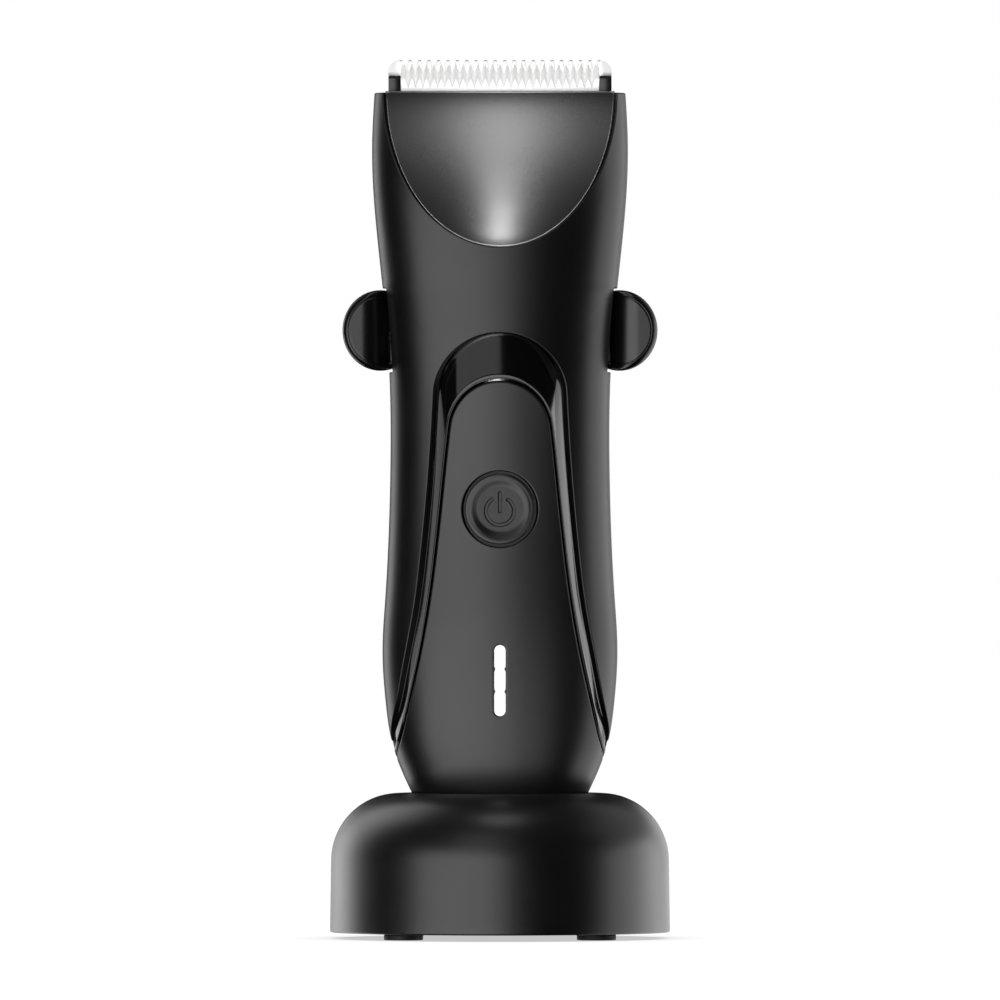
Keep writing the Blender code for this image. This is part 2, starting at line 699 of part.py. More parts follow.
def cutter_outline():
    """The moving cutter: pointed teeth from end to end."""
    root, tip = 172.7, 0.1
    points = [(-CUTTER_HALF, 160.5), (-CUTTER_HALF, 173.0)]
    for i in range(CUTTER_TEETH):
        x = CUTTER_PITCH * (i - (CUTTER_TEETH - 1) / 2)
        points += [(x - tip, CUTTER_TOP), (x + tip, CUTTER_TOP)]
        if i < CUTTER_TEETH - 1:
            points.append((x + CUTTER_PITCH / 2, root))
    return [*points, (CUTTER_HALF, 173.0), (CUTTER_HALF, 160.5)]


def blades(ceramic, matter, steel, frame):
    comb = outline("fixed_comb", comb_outline(), ceramic, 0.28, 1.28, upright=True)
    outline("moving_cutter", cutter_outline(), ceramic, -0.9, -0.02, upright=True)
    for side, word in ((-1, "left"), (1, "right")):
        x = side * 14.0
        turned(f"comb_screw_{word}", ((0, 0.1), (1.1, 0.1), (1.1, -3.4), (2.0, -3.4), (1.8, -4.4), (0, -4.4)),
               steel, (x, 0, 163.5), axis="-Y", steps=12)
        hole = turned(f"comb_hole_{word}", rod(1.4, -12.0, 12.0), steel, (x, 0, 163.5), axis="-Y", steps=12)
        slot = box(f"screw_pass_{word}", (x - 2.2, -1.5, 162.0), (x + 2.2, 0.2, 165.0), matter)
        cut(comb, hole)
        cut(frame, hole)
        cut(bpy.data.objects["moving_cutter"], slot)
    yoke = box("drive_yoke", (-5.6, -4.4, 143.0), (5.6, 4.4, 149.6), matter)
    arm = box("yoke_arm", (-4.0, -1.9, 148.6), (4.0, -1.1, 167.0), matter)
    combine(yoke, [arm])
    cut(yoke, box("yoke_slot", (-2.8, -2.5, 140.0), (2.8, 2.5, 147.7), matter))


# ---------------------------------------------------------------- dock
def dock(matter, rubber, steel, board_matter, brass):
    fillet = DOCK_RADIUS - DOCK_FILLET
    rise = DOCK_TOP - DOCK_FILLET
    turns = np.linspace(math.pi / 2, 0, 7)
    outer = [(fillet + DOCK_FILLET * math.cos(t), rise + DOCK_FILLET * math.sin(t)) for t in turns]
    inner_radius = DOCK_FILLET - DOCK_WALL
    inner = [(fillet + inner_radius * math.cos(t), rise + inner_radius * math.sin(t)) for t in reversed(turns)]
    profile = [(8.0, DOCK_TOP), *outer, (DOCK_RADIUS + DOCK_FLARE, DOCK_RIM),
               (DOCK_RADIUS + DOCK_FLARE - DOCK_WALL, DOCK_RIM), *inner, (8.0, DOCK_TOP - DOCK_WALL)]
    dome = turned("dock_shell", profile, matter, steps=40)
    spots = [(27.2 * math.sin(t), -27.2 * math.cos(t)) for t in (0, math.tau / 4, -math.tau / 4)]
    posts = [turned(f"screw_post_{i}", rod(2.8, 4.6, 23.7), matter, (x, y, 0), steps=14)
             for i, (x, y) in enumerate(spots)]
    combine(dome, posts)
    for i, (x, y) in enumerate(spots):
        cut(dome, turned(f"post_bore_{i}", rod(1.3, 0.0, 16.0), matter, (x, y, 0), steps=10))
    cut(dome, well_cutter(matter))
    cut(dome, box("usb_opening", (-5.0, 28.0, USB_Z - 2.1), (5.0, 36.0, USB_Z + 2.1), matter))

    rows = [dock_well_row(z) for z in np.linspace(26.4, 17.2, 3)]
    rows += [[(x * s, y * s, 17.2) for x, y, _ in rows[-1]] for s in (0.5, 0.02)]
    cradle = shell("dock_cradle", rows, matter, 1.4, (0, 0, 1))
    plate_piece = turned("dock_base_plate", rod(31.3, 1.4, 3.4), matter, steps=32)
    weight = turned("dock_weight", rod(24.0, 3.8, 6.2), steel, steps=24)
    for side, word in ((-1, "left"), (1, "right")):
        hole = turned(f"pin_hole_{word}", rod(1.5, 10, 20), matter, (side * 4.0, 0, 0), steps=12)
        cut(cradle, hole)
        turned(f"pin_barrel_{word}", tube(1.15, 1.9, 8.6, 14.8), brass, (side * 4.0, 0, 0), steps=16)
        turned(f"dock_pin_{word}", rod(0.85, 10.6, 17.7), brass, (side * 4.0, 0, 0), steps=12)

    number = 0
    for y in (-FOOT_OFFSET, FOOT_OFFSET):
        for x in (-FOOT_OFFSET, FOOT_OFFSET):
            number += 1
            profile = ((0, 1.1), (FOOT_RADIUS, 1.1), (FOOT_RADIUS, 0.3), (FOOT_RADIUS - 0.3, 0), (0, 0))
            turned(f"foot_{number}", profile, rubber, (x, y, 0), steps=20)
    for i, (x, y) in enumerate(spots, 1):
        profile = ((0, 10.0), (1.0, 10.0), (1.0, 2.9), (2.2, 2.9), (2.2, 1.5), (0, 1.5))
        turned(f"base_screw_{i}", profile, steel, (x, y, 0), steps=12)
        cut(plate_piece, turned(f"base_hole_{i}", rod(1.3, 2.0, 6), matter, (x, y, 0), steps=12))
        cut(plate_piece, turned(f"counterbore_{i}", rod(2.5, -1.0, 3.0), matter, (x, y, 0), steps=16))

    box("dock_pcb", (-9.0, -9.0, 6.7), (9.0, 29.6, 8.2), board_matter)
    usb = box("usb_socket", (-4.5, 25.6, USB_Z - 1.6), (4.5, 33.2, USB_Z + 1.6), steel, bevel=1.2)
    tongue_space = box("usb_cavity", (-4.1, 27.0, USB_Z - 1.25), (4.1, 36.0, USB_Z + 1.25), steel)
    cut(usb, tongue_space)


def dock_well_row(z):
    """A ring round the dock's well, clear of the groomer that stands in it."""
    clear = 0.6
    points = []
    for i in range(25):
        x, y, _ = skin(math.tau * i / 24, z)
        grow = 1 + clear / half_width(z)
        points.append((x * grow, y * (1 + clear / front_depth(z)), z))
    return points


def well_cutter(matter):
    rows = [dock_well_row(z) for z in (32.0, 29.5, 27.0, 24.0)]
    work = grid(rows)
    edges = [e for e in work.edges if e.is_boundary]
    bmesh.ops.holes_fill(work, edges=edges)
    bmesh.ops.recalc_face_normals(work, faces=work.faces)
    return object_of(mesh_of(work), "well_cutter", matter)


# ---------------------------------------------------------------- the assembly
def build():
    for old in list(bpy.data.objects):
        bpy.data.objects.remove(old)
    bpy.context.scene.collection.children.link(COLLECTION)
    bpy.context.scene.collection.children.link(CUTTERS)

    body = material("satin_black_plastic", (0.035, 0.035, 0.038), 0.42)
    gloss = material("gloss_black_plastic", (0.008, 0.008, 0.009), 0.08)
    inner = material("inner_plastic", (0.12, 0.12, 0.13), 0.55)
    rubber = material("black_rubber", (0.02, 0.02, 0.02), 0.8)
    ceramic = material("white_ceramic", (0.86, 0.86, 0.85), 0.25)
    steel = material("steel", (0.55, 0.56, 0.58), 0.3, 1.0)
    brass = material("gold_contact", (0.85, 0.62, 0.25), 0.25, 1.0)
    board_matter = material("circuit_board", (0.03, 0.16, 0.08), 0.5)
    cell = material("cell_sleeve", (0.05, 0.16, 0.4), 0.4)
    lamp = material("lamp_lens", (0.95, 0.96, 0.97), 0.2)

    housing(body, gloss)
    bottom_cap(inner, brass)
    power_button(body)
    button_membrane(rubber)
    light_pipe(lamp)
    for side, word in ((-1, "left"), (1, "right")):
        release_button(gloss, steel, side, word)
    frame = chassis(inner)
    drive(steel, inner)
    board = electronics(board_matter, cell, rubber, lamp)
    board_screws(board, frame, steel)
    upper_deck(inner, rubber)
    blades(ceramic, inner, steel, head(body, steel))
    dock(body, rubber, steel, board_matter, brass)


build()
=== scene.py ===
"""The looks of the body groomer in its charging dock.

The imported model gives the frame: every piece made here rides on one of its bodies.
Sizes are in millimetres and are turned into metres as a mesh is made. The form of
the housing repeats the stations of the CAD model, so that the fine surfaces lie
where its own lie.
"""

import json
import math

import bmesh
import bpy
import numpy as np
from mathutils import Matrix, Vector


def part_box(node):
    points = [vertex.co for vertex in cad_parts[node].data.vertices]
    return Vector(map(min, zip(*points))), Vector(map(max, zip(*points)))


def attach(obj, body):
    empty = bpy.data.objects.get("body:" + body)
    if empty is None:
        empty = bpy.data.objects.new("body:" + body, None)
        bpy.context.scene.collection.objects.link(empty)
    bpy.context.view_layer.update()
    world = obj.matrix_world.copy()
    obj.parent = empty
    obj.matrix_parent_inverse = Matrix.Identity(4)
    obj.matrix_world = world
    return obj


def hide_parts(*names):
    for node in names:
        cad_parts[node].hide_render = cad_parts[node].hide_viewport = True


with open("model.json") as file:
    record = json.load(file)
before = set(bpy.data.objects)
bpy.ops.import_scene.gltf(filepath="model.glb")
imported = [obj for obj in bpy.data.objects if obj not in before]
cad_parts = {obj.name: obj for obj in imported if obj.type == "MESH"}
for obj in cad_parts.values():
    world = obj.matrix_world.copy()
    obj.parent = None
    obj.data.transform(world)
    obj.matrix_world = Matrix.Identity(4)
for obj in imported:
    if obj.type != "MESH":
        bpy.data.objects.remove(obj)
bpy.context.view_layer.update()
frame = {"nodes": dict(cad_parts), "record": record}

MM = 0.001


# ---------------- driving sizes
WALL = 1.8  # the housing's wall
GAP = 0.3  # clearance between pieces that touch
SUPPORT = 0.08  # a flat strip beside each rounded edge keeps the face's shading flat
EDGE = 0.26  # the usual rounding of an edge
PANEL_EDGE = 0.5  # the softer rounding round the control panel

BODY_TOP = 169.0
FILLET_TOP = 21.0  # where the rounding of the underside begins
BODY_BOTTOM = 18.0
BOTTOM_INSET = 4.0
UNDER_LENGTH = 5.6  # the length of that rounding along the surface
TURN = 22.0  # millimetres of u for one radian round the body
SEAM = math.radians(96.0)  # the parting line between front and rear shells
SEAM_GAP = 0.016  # radians between the two shells

ARCH_CENTRE, ARCH_RADIUS = 107.4, 13.6  # the round top of the band's outer line
PANEL_CENTRE, PANEL_RADIUS = 101.4, 10.1  # the round top of the control panel
ARCH_END = 12.0  # a round top ends at this angle over the level
SCOOP_HALF, SCOOP_DROP = 23.2, 30.9  # the head's hollow front: half its width, and its height
SCOOP_HOLLOW, SCOOP_TIP = 0.0035, 0.018  # how hollow it is at its top, and how much more at its tip
NOTCH_HALF, NOTCH_DROP, NOTCH_POWER = 19.4, 19.0, 0.6  # the opening for the head at the back
HEAD_TOP, HEAD_GAP = 169.25, 0.35  # the top edge of the head's hollow front, and its gap

BUTTON_Z, BUTTON_HOLE = 85.8, 7.6  # the power button's height and the radius of its hole
LAMP_Z, LAMP_HALF, LAMP_REACH = 51.6, 1.1, 7.05  # the lamp's height, half its width and its length
LAMP_HOLE = (1.25, 7.15)  # the same of the slot that it sits in
LAMP_RIBS = (53.9, 49.4)  # the heights of the lamp's two dividing ribs
KNOB_Z = 121.5  # the height of the side buttons

# The groomer's form: height, half-width, depth of the front and of the rear half.
STATIONS = (
    (18.0, 12.4, 8.6, 8.6),
    (24.0, 15.2, 10.3, 10.3),
    (30.0, 18.1, 12.0, 12.0),
    (38.0, 21.3, 13.6, 13.6),
    (47.0, 22.85, 14.6, 14.6),
    (57.5, 23.5, 15.0, 14.9),
    (68.0, 22.95, 14.8, 14.6),
    (80.0, 22.3, 14.3, 14.2),
    (96.0, 21.9, 14.0, 13.9),
    (112.0, 22.1, 14.0, 13.9),
    (132.0, 23.7, 14.4, 13.8),
    (146.0, 25.1, 14.6, 12.5),
    (158.0, 25.6, 14.4, 9.8),
    (169.0, 25.1, 14.2, 6.4),
)
ROUNDNESS = 2.15  # the cross-section's exponent; 2 is an ellipse

# The legs of the arch and of the panel: degrees round the body, height.
ARCH_LEG = ((35.5, 109.8), (39.4, 92.0), (43.8, 75.6), (49.0, 61.6),
            (59.7, 50.0), (72.0, 43.9), (84.0, 40.9), (98.0, 38.6))
PANEL_LEG = ((25.1, 104.0), (28.5, 94.2), (34.0, 75.0), (39.9, 59.5),
             (48.5, 49.5), (61.7, 41.0), (79.0, 37.2), (98.0, 34.6))


# ---------------- the body's form
def smooth_through(knots, values):
    """The natural cubic spline through values at knots, as a function of an array."""
    x = np.array(knots, float)
    y = np.array(values, float)
    step = np.diff(x)
    count = len(x)
    matrix = np.eye(count)
    right = np.zeros(count)
    for i in range(1, count - 1):
        matrix[i, i - 1:i + 2] = step[i - 1], 2 * (step[i - 1] + step[i]), step[i]
        right[i] = 6 * ((y[i + 1] - y[i]) / step[i] - (y[i] - y[i - 1]) / step[i - 1])
    bend = np.linalg.solve(matrix, right)

    def value(at):
        at = np.asarray(at, float)
        i = np.clip(np.searchsorted(x, at) - 1, 0, count - 2)
        low = (x[i + 1] - at) / step[i]
        high = (at - x[i]) / step[i]
        cubic = (low ** 3 - low) * bend[i] + (high ** 3 - high) * bend[i + 1]
        return low * y[i] + high * y[i + 1] + cubic * step[i] ** 2 / 6

    return value


HEIGHTS, HALF_WIDTHS, FRONTS, REARS = zip(*STATIONS)
half_width = smooth_through(HEIGHTS, HALF_WIDTHS)
front_depth = smooth_through(HEIGHTS, FRONTS)
rear_depth = smooth_through(HEIGHTS, REARS)


def skin(angle, z, inset=0.0):
    """Points of the groomer's outer form at angles round it (0 is the front)."""
    side, ahead = np.sin(angle), np.cos(angle)
    depth = np.where(ahead > 0, front_depth(z), rear_depth(z))
    x = (half_width(z) - inset) * np.sign(side) * np.abs(side) ** (2 / ROUNDNESS)
    y = -(depth - inset) * np.sign(ahead) * np.abs(ahead) ** (2 / ROUNDNESS)
    return np.stack([x, y, z + 0 * x], axis=-1)


def angle_at(x, z):
    """The front angle at which the skin has that x."""
    return np.arcsin(np.minimum(1.0, np.abs(x) / half_width(z)) ** (ROUNDNESS / 2))


def form(u, v):
    """The outer form at u, millimetres round the body, and v, millimetres up it."""
    part = np.clip((FILLET_TOP - v) / UNDER_LENGTH, 0, 1.3) * math.pi / 2
    z = np.where(v < FILLET_TOP, FILLET_TOP - (FILLET_TOP - BODY_BOTTOM) * np.sin(part), v)
    return skin(u / TURN, z, BOTTOM_INSET * (1 - np.cos(part)))


def on_body(u, v, depth):
    """Points at a depth under the outer form, square to it."""
    h = 0.02  # half the step of the difference
    along = form(u + h, v) - form(u - h, v)
    up = form(u, v + h) - form(u, v - h)
    out = np.cross(along, up)
    out /= np.linalg.norm(out, axis=-1)[:, None]
    return form(u, v) - depth[:, None] * out


def on_back(u, v, depth):
    """The same with u measured from the middle of the back."""
    return on_body(math.pi * TURN - u, v, depth)


def scoop(x, z):
    """The y of the hollow front of the cutter head."""
    share = np.clip((BODY_TOP - z) / SCOOP_DROP, 0.0, 1.0)
    edge = SCOOP_HALF * np.sqrt(1 - share ** 2)
    hollow = (SCOOP_HOLLOW + SCOOP_TIP * share ** 3) * (edge ** 2 - x ** 2)
    return skin(angle_at(edge, z), z)[..., 1] + hollow


def rear_surface(x, z):
    """The y of the body's rear skin at that x."""
    share = np.minimum(1.0, np.abs(x) / half_width(z))
    return rear_depth(z) * (1 - share ** ROUNDNESS) ** (1 / ROUNDNESS)


# ---------------- lines on the body, as (u, v)
def circle_turns(steps):
    """Angles at even steps round a circle."""
    return np.arange(steps) * math.tau / steps


def arc(centre, radius, first, last, count):
    """Points on a circle at count angles from one to another."""
    turn = np.linspace(first, last, count)
    return np.column_stack([centre[0] + radius * np.cos(turn), centre[1] + radius * np.sin(turn)])


def front_line(x, z):
    """A line on the front skin through points (x, z)."""
    return np.column_stack([angle_at(x, z) * TURN, z])


def evenly(points, count):
    """count + 1 points at even steps along a line."""
    points = np.array(points, float)
    lengths = np.r_[0, np.cumsum(np.linalg.norm(np.diff(points, axis=0), axis=1))]
    at = np.linspace(0, lengths[-1], count + 1)
    return np.column_stack([np.interp(at, lengths, points[:, i]) for i in range(2)])


def arch_line(centre, radius, leg, count):
    """A line from an arch's top down one leg, past the seam."""
    top = front_line(*arc((0, centre), radius, math.pi / 2, math.radians(ARCH_END), 60).T)
    angles, heights = zip(*leg)
    t = range(len(leg))
    s = np.linspace(0, len(leg) - 1, 200)
    down = np.column_stack([np.radians(smooth_through(t, angles)(s)) * TURN,
                            smooth_through(t, heights)(s)])
    line = evenly(np.vstack([top, down]), count)
    for _ in range(6):
        line[1:-1] = line[1:-1] / 2 + line[:-2] / 4 + line[2:] / 4
        line[0, 1] = line[:2, 1].mean()
    return line


def beside(line, distance):
    """An arch line moved outwards along the body by a distance."""
    along = np.gradient(line, axis=0)
    along[0] = (1.0, 0.0)
    along /= np.linalg.norm(along, axis=1)[:, None]
    moved = line + distance * np.column_stack([-along[:, 1], along[:, 0]])
    moved[0, 0] = 0.0
    return moved


def cut_at(line, axis, limit):
    """The start of a line up to where one coordinate reaches a limit."""
    over = line[:, axis] > limit if line[-1, axis] > limit else line[:, axis] < limit
    if not over.any():
        return line
    first = int(np.argmax(over))
    a, b = line[first - 1], line[first]
    t = (limit - a[axis]) / (b[axis] - a[axis])
    return np.vstack([line[:first], a + (b - a) * t])


def split_at(line, axis, limit):
    """Both parts of a line on either side of a limit; they share the point on it."""
    start = cut_at(line, axis, limit)
    rest = line[len(start) - 1:] if len(start) < len(line) else line[-1:]
    return start, np.vstack([start[-1:], rest])


def path(*corners, counts):
    """A polyline with a given number of steps between each two corners."""
    points = [corners[0]]
    for a, b, count in zip(corners, corners[1:], counts):
        for i in range(1, count + 1):
            points.append([a[0] + (b[0] - a[0]) * i / count, a[1] + (b[1] - a[1]) * i / count])
    return np.array(points, float)


def between(first, last, steps):
    """Rows from one line to another with as many points."""
    return [first + (last - first) * t for t in np.linspace(0, 1, steps + 1)]


# ---------------- nets of faces
class Net:
    """A sheet of faces over points (u, v), each with its depth under the surface."""

    def __init__(self):
        self.index = {}
        self.points = []
        self.faces = []

    def vertex(self, point):
        key = (round(float(point[0]), 3), round(float(point[1]), 3))
        if key not in self.index:
            self.index[key] = len(self.points)
            self.points.append((*map(float, point), 0.0)[:3])
        return self.index[key]

    def patch(self, rows):
        net = [[self.vertex(p) for p in row] for row in rows]
        for above, below in zip(net, net[1:]):
            for i in range(len(above) - 1):
                self.face((above[i], below[i], below[i + 1], above[i + 1]))

    def both(self, rows):
        """A patch and its mirror image across u = 0."""
        rows = [np.asarray(row, float) for row in rows]
        self.patch(rows)
        self.patch([row * ([-1, 1] if row.shape[1] == 2 else [-1, 1, 1]) for row in rows])

    def face(self, corners):
        """Adds a face, counterclockwise in (u, v), without repeated corners."""
        corners = [c for i, c in enumerate(corners) if c != corners[i - 1]]
        if len(set(corners)) < 3:
            return
        p = [self.points[c] for c in corners]
        area = sum(a[0] * b[1] - b[0] * a[1] for a, b in zip(p, p[1:] + p[:1]))
        self.faces.append(corners if area > 0 else corners[::-1])

    def loops(self):
        """The net's edges as loops of vertices, with the net on their left."""
        after = {}
        pairs = {(a, b) for f in self.faces for a, b in zip(f, f[1:] + f[:1])}
        for a, b in pairs:
            if (b, a) not in pairs:
                after[a] = b
        found = []
        while after:
            start = min(after)
            loop = [start]
            following = after.pop(start)
            while following != start:
                loop.append(following)
                following = after.pop(following)
            found.append(loop)
        return found


def edge_steps(radius, steps=4):
    """(outward, deeper) steps over a support strip and a rounded edge."""
    turns = [math.pi / 2 * i / steps for i in range(1, steps + 1)]
    return [(SUPPORT, 0.0)] + [(SUPPORT + radius * math.sin(t), radius * (1 - math.cos(t))) for t in turns]


MITRE_LIMIT = 0.35  # keeps the rounded edge short at a sharp corner


def slab(net, place, back, edge=EDGE):
    """A closed mesh: the net, rounded edges round it, and a back at a depth.

    place turns u, v and depth into points; edge is a radius, or gives one for a loop.
    """
    points = np.array(net.points)
    count = len(points)
    uvd = [points]
    rear = points.copy()
    rear[:, 2] = back
    faces = [list(f) for f in net.faces]
    total = 2 * count
    for loop in net.loops():
        radius = edge(points[loop]) if callable(edge) else edge
        here = points[loop, :2]
        into = here - np.roll(here, 1, axis=0)
        into /= np.linalg.norm(into, axis=1)[:, None]
        out = np.roll(into, -1, axis=0)
        normals = [np.column_stack([d[:, 1], -d[:, 0]]) for d in (into, out)]
        share = np.maximum(MITRE_LIMIT, 1 + np.sum(normals[0] * normals[1], axis=1))
        mitre = (normals[0] + normals[1]) / share[:, None]
        rings = [np.array(loop)]
        for outward, deeper in edge_steps(radius):
            ring = np.column_stack([here + outward * mitre, points[loop, 2] + deeper])
            uvd.append(ring)
            rings.append(np.arange(total, total + len(loop)))
            total += len(loop)
        rear[loop, :2] = ring[:, :2]
        rings.append(np.array(loop) + count)
        for a, b in zip(rings, rings[1:]):
            for i in range(len(loop)):
                faces.append([a[i - 1], b[i - 1], b[i], a[i]])
    faces += [[v + count for v in reversed(f)] for f in net.faces]
    uvd = np.vstack([uvd[0], rear, *uvd[1:]])
    return place(uvd[:, 0], uvd[:, 1], uvd[:, 2]), faces


# ---------------- meshes
SMOOTH = 32  # faces that meet at less than these degrees are shaded as one
SAME = 1e-7  # metres within which points are merged


def mesh_object(name, points, faces, smooth_angle=SMOOTH):
    """An object from points in millimetres, with its faces turned outwards."""
    mesh = bpy.data.meshes.new(name)
    mesh.from_pydata((np.asarray(points) * MM).tolist(), [], [[int(v) for v in f] for f in faces])
    work = bmesh.new()
    work.from_mesh(mesh)
    bmesh.ops.remove_doubles(work, verts=work.verts, dist=SAME)
    bmesh.ops.dissolve_degenerate(work, edges=work.edges, dist=SAME)
    bmesh.ops.recalc_face_normals(work, faces=work.faces)
    work.to_mesh(mesh)
    work.free()
    return finished(name, mesh, smooth_angle)


def from_bmesh(name, work, smooth_angle=SMOOTH):
    """An object from a bmesh, which is freed."""
    mesh = bpy.data.meshes.new(name)
    work.to_mesh(mesh)
    work.free()
    return finished(name, mesh, smooth_angle)


def finished(name, mesh, smooth_angle=SMOOTH):
    """An object in the scene from its mesh, shaded smooth up to an angle."""
    mesh.shade_smooth()
    mesh.set_sharp_from_angle(angle=math.radians(smooth_angle))
    made = bpy.data.objects.new(name, mesh)
    bpy.context.scene.collection.objects.link(made)
    return made


def rings_mesh(rings, closed=False):
    """Points and faces through rings of points: capped at both ends, or closed on itself."""
    points, faces, rows = [], [], []
    for ring in rings:
        rows.append(list(range(len(points), len(points) + len(ring))))
        points += [list(p) for p in ring]
    pairs = list(zip(rows, rows[1:])) + ([(rows[-1], rows[0])] if closed else [])
    for a, b in pairs:
        for i in range(len(a)):
            faces.append([a[i - 1], a[i], b[i], b[i - 1]])
    if not closed:
        for row in (rows[0], rows[-1]):
            middle = len(points)
            points.append(list(np.mean([points[v] for v in row], axis=0)))
            faces += [[row[i - 1], row[i], middle] for i in range(len(row))]
    return points, faces


def soften(profile, radius, steps=4):
    """A profile with each corner but its ends rounded."""
    profile = [np.array(p, float) for p in profile]
    points = [profile[0]]
    for a, b, c in zip(profile, profile[1:], profile[2:]):
        before, after = a - b, c - b
        reach = min(radius, 0.45 * np.linalg.norm(before), 0.45 * np.linalg.norm(after))
        start = b + before / np.linalg.norm(before) * reach
        end = b + after / np.linalg.norm(after) * reach
        for t in np.linspace(0, 1, steps + 1):
            points.append((1 - t) ** 2 * start + 2 * t * (1 - t) * b + t ** 2 * end)
    points.append(profile[-1])
    return points


def turned_rings(profile, centre, axis, steps):
    """Rings of points from (radius, height) pairs; a radius may vary round its ring."""
    turns = circle_turns(steps)
    rings = []
    for r, h in profile:
        a, b, c = r * np.cos(turns), r * np.sin(turns), np.full(steps, float(h))
        ring = np.column_stack({"Z": [a, b, c], "Y": [a, c, b], "-Y": [a, -c, b]}[axis])
        rings.append(ring + np.array(centre, float))
    return rings


def lathe(name, profile, centre=(0, 0, 0), axis="Z", steps=64):
    """A turned piece: profile is (radius, height) along the axis from a centre."""
    least = 0.004
    profile = [(max(r, least), h) for r, h in profile]
    return mesh_object(name, *rings_mesh(turned_rings(profile, centre, axis, steps)))


def boxed(name, low, high, radius=0.3, steps=3):
    """A block with rounded edges."""
    work = bmesh.new()
    bmesh.ops.create_cube(work, size=1.0)
    low, high = Vector(low), Vector(high)
    size, middle = high - low, (high + low) / 2
    bmesh.ops.transform(work, verts=work.verts,
                        matrix=Matrix.Translation(middle * MM) @ Matrix.Diagonal((*size * MM, 1)))
    bmesh.ops.bevel(work, geom=work.edges[:], offset=radius * MM, segments=steps, profile=0.5,
                    affect="EDGES", clamp_overlap=True)
    return from_bmesh(name, work)


def prism(name, outline, low, high):
    """A bar along X whose cross-section is an outline of (y, z) points."""
    rings = [[(x, y, z) for y, z in outline] for x in (low, high)]
    return mesh_object(name, *rings_mesh(rings))


def joined(name, *parts, operation="UNION", smooth_angle=SMOOTH):
    """One object from the first part and a Boolean with each of the others."""
    first = parts[0]
    for other in parts[1:]:
        step = first.modifiers.new("join", "BOOLEAN")
        step.operation = operation
        step.solver = "EXACT"
        step.object = other
    graph = bpy.context.evaluated_depsgraph_get()
    graph.update()
    mesh = bpy.data.meshes.new_from_object(first.evaluated_get(graph))
    for part in parts:
        old = part.data
        bpy.data.objects.remove(part)
        bpy.data.meshes.remove(old)
    mesh.name = name
    return finished(name, mesh, smooth_angle)


FLAT, SHARP = math.radians(1.0), math.radians(28)  # faces count as one below, an edge as sharp above


def eased(cad_name, width, name=None):
    """A copy of a CAD node with its edges eased."""
    work = bmesh.new()
    work.from_mesh(frame["nodes"][cad_name].data)
    bmesh.ops.remove_doubles(work, verts=work.verts, dist=2e-6)
    bmesh.ops.dissolve_limit(work, angle_limit=FLAT, verts=work.verts, edges=work.edges)
    sharp = [e for e in work.edges if len(e.link_faces) == 2 and e.calc_face_angle(0) > SHARP]
    bmesh.ops.bevel(work, geom=sharp, offset=width * MM, segments=2, profile=0.5, affect="EDGES",
                    clamp_overlap=True)
    return from_bmesh(name or cad_name + "_fine", work)


# ---------------- materials
def fill(tree, shader, links):
    """Gives a shader node's inputs a value or another node's output."""
    for key, value in links.items():
        if isinstance(value, bpy.types.NodeSocket):
            tree.links.new(value, shader.inputs[key])
        else:
            shader.inputs[key].default_value = value


def node(tree, kind, links=None, **settings):
    """Adds a shader node; links gives its inputs."""
    made = tree.nodes.new(kind)
    for key, value in settings.items():
        setattr(made, key, value)
    fill(tree, made, links or {})
    return made


def blank(name):
    """A new material, its node tree and its shader."""
    made = bpy.data.materials.new(name)
    made.use_nodes = True
    return made, made.node_tree, made.node_tree.nodes["Principled BSDF"]


def sums(tree, operation, a, b=0.0):
    """The output of a Math node."""
    return node(tree, "ShaderNodeMath", {0: a, 1: b}, operation=operation).outputs[0]


def mixed(tree, factor, a, b):
    """A number between two others."""
    return node(tree, "ShaderNodeMix", {"Factor": factor, "A": a, "B": b}).outputs["Result"]


def bump(tree, pattern, height):
    """A normal roughened by a pattern, up to a height in millimetres."""
    return node(tree, "ShaderNodeBump", {"Strength": 1.0, "Distance": height * MM,
                                         "Height": pattern}).outputs["Normal"]


def ramp(tree, factor, low, high, start=0.3, end=0.7):
    """A factor mapped to run from one value or colour to another."""
    if isinstance(low, (int, float)):
        made = node(tree, "ShaderNodeMapRange", {"Value": factor, "From Min": start, "From Max": end,
                                                 "To Min": low, "To Max": high})
        return made.outputs["Result"]
    made = node(tree, "ShaderNodeValToRGB", {"Fac": factor})
    for element, at, colour in zip(made.color_ramp.elements, (start, end), (low, high)):
        element.position = at
        element.color = (*colour, 1)
    return made.outputs["Color"]


def noise(tree, size, detail=2.0, stretch=None, rough=0.5):
    """Noise whose blobs are about a size in millimetres, in the piece's own space."""
    place = node(tree, "ShaderNodeTexCoord").outputs["Object"]
    if stretch:
        place = node(tree, "ShaderNodeMapping", {"Vector": place, "Scale": stretch}).outputs["Vector"]
    return node(tree, "ShaderNodeTexNoise", {"Vector": place, "Scale": 1 / (size * MM), "Detail": detail,
                                             "Roughness": rough}).outputs["Fac"]


def moulded(name, dark, light, roughness, spread=0.03, grain=0.12, height=0.0012):
    """Moulded plastic: a fine spark-eroded grain, with slow changes of tone and gloss."""
    made, tree, shader = blank(name)
    cloud = noise(tree, 9.0, 3.0)
    fine = noise(tree, grain)
    fill(tree, shader, {"Base Color": ramp(tree, mixed(tree, 0.5, cloud, fine), dark, light),
                        "Roughness": ramp(tree, mixed(tree, 0.4, cloud, fine), roughness - spread,
                                          roughness + spread),
                        "Normal": bump(tree, fine, height), "IOR": 1.5})
    return made


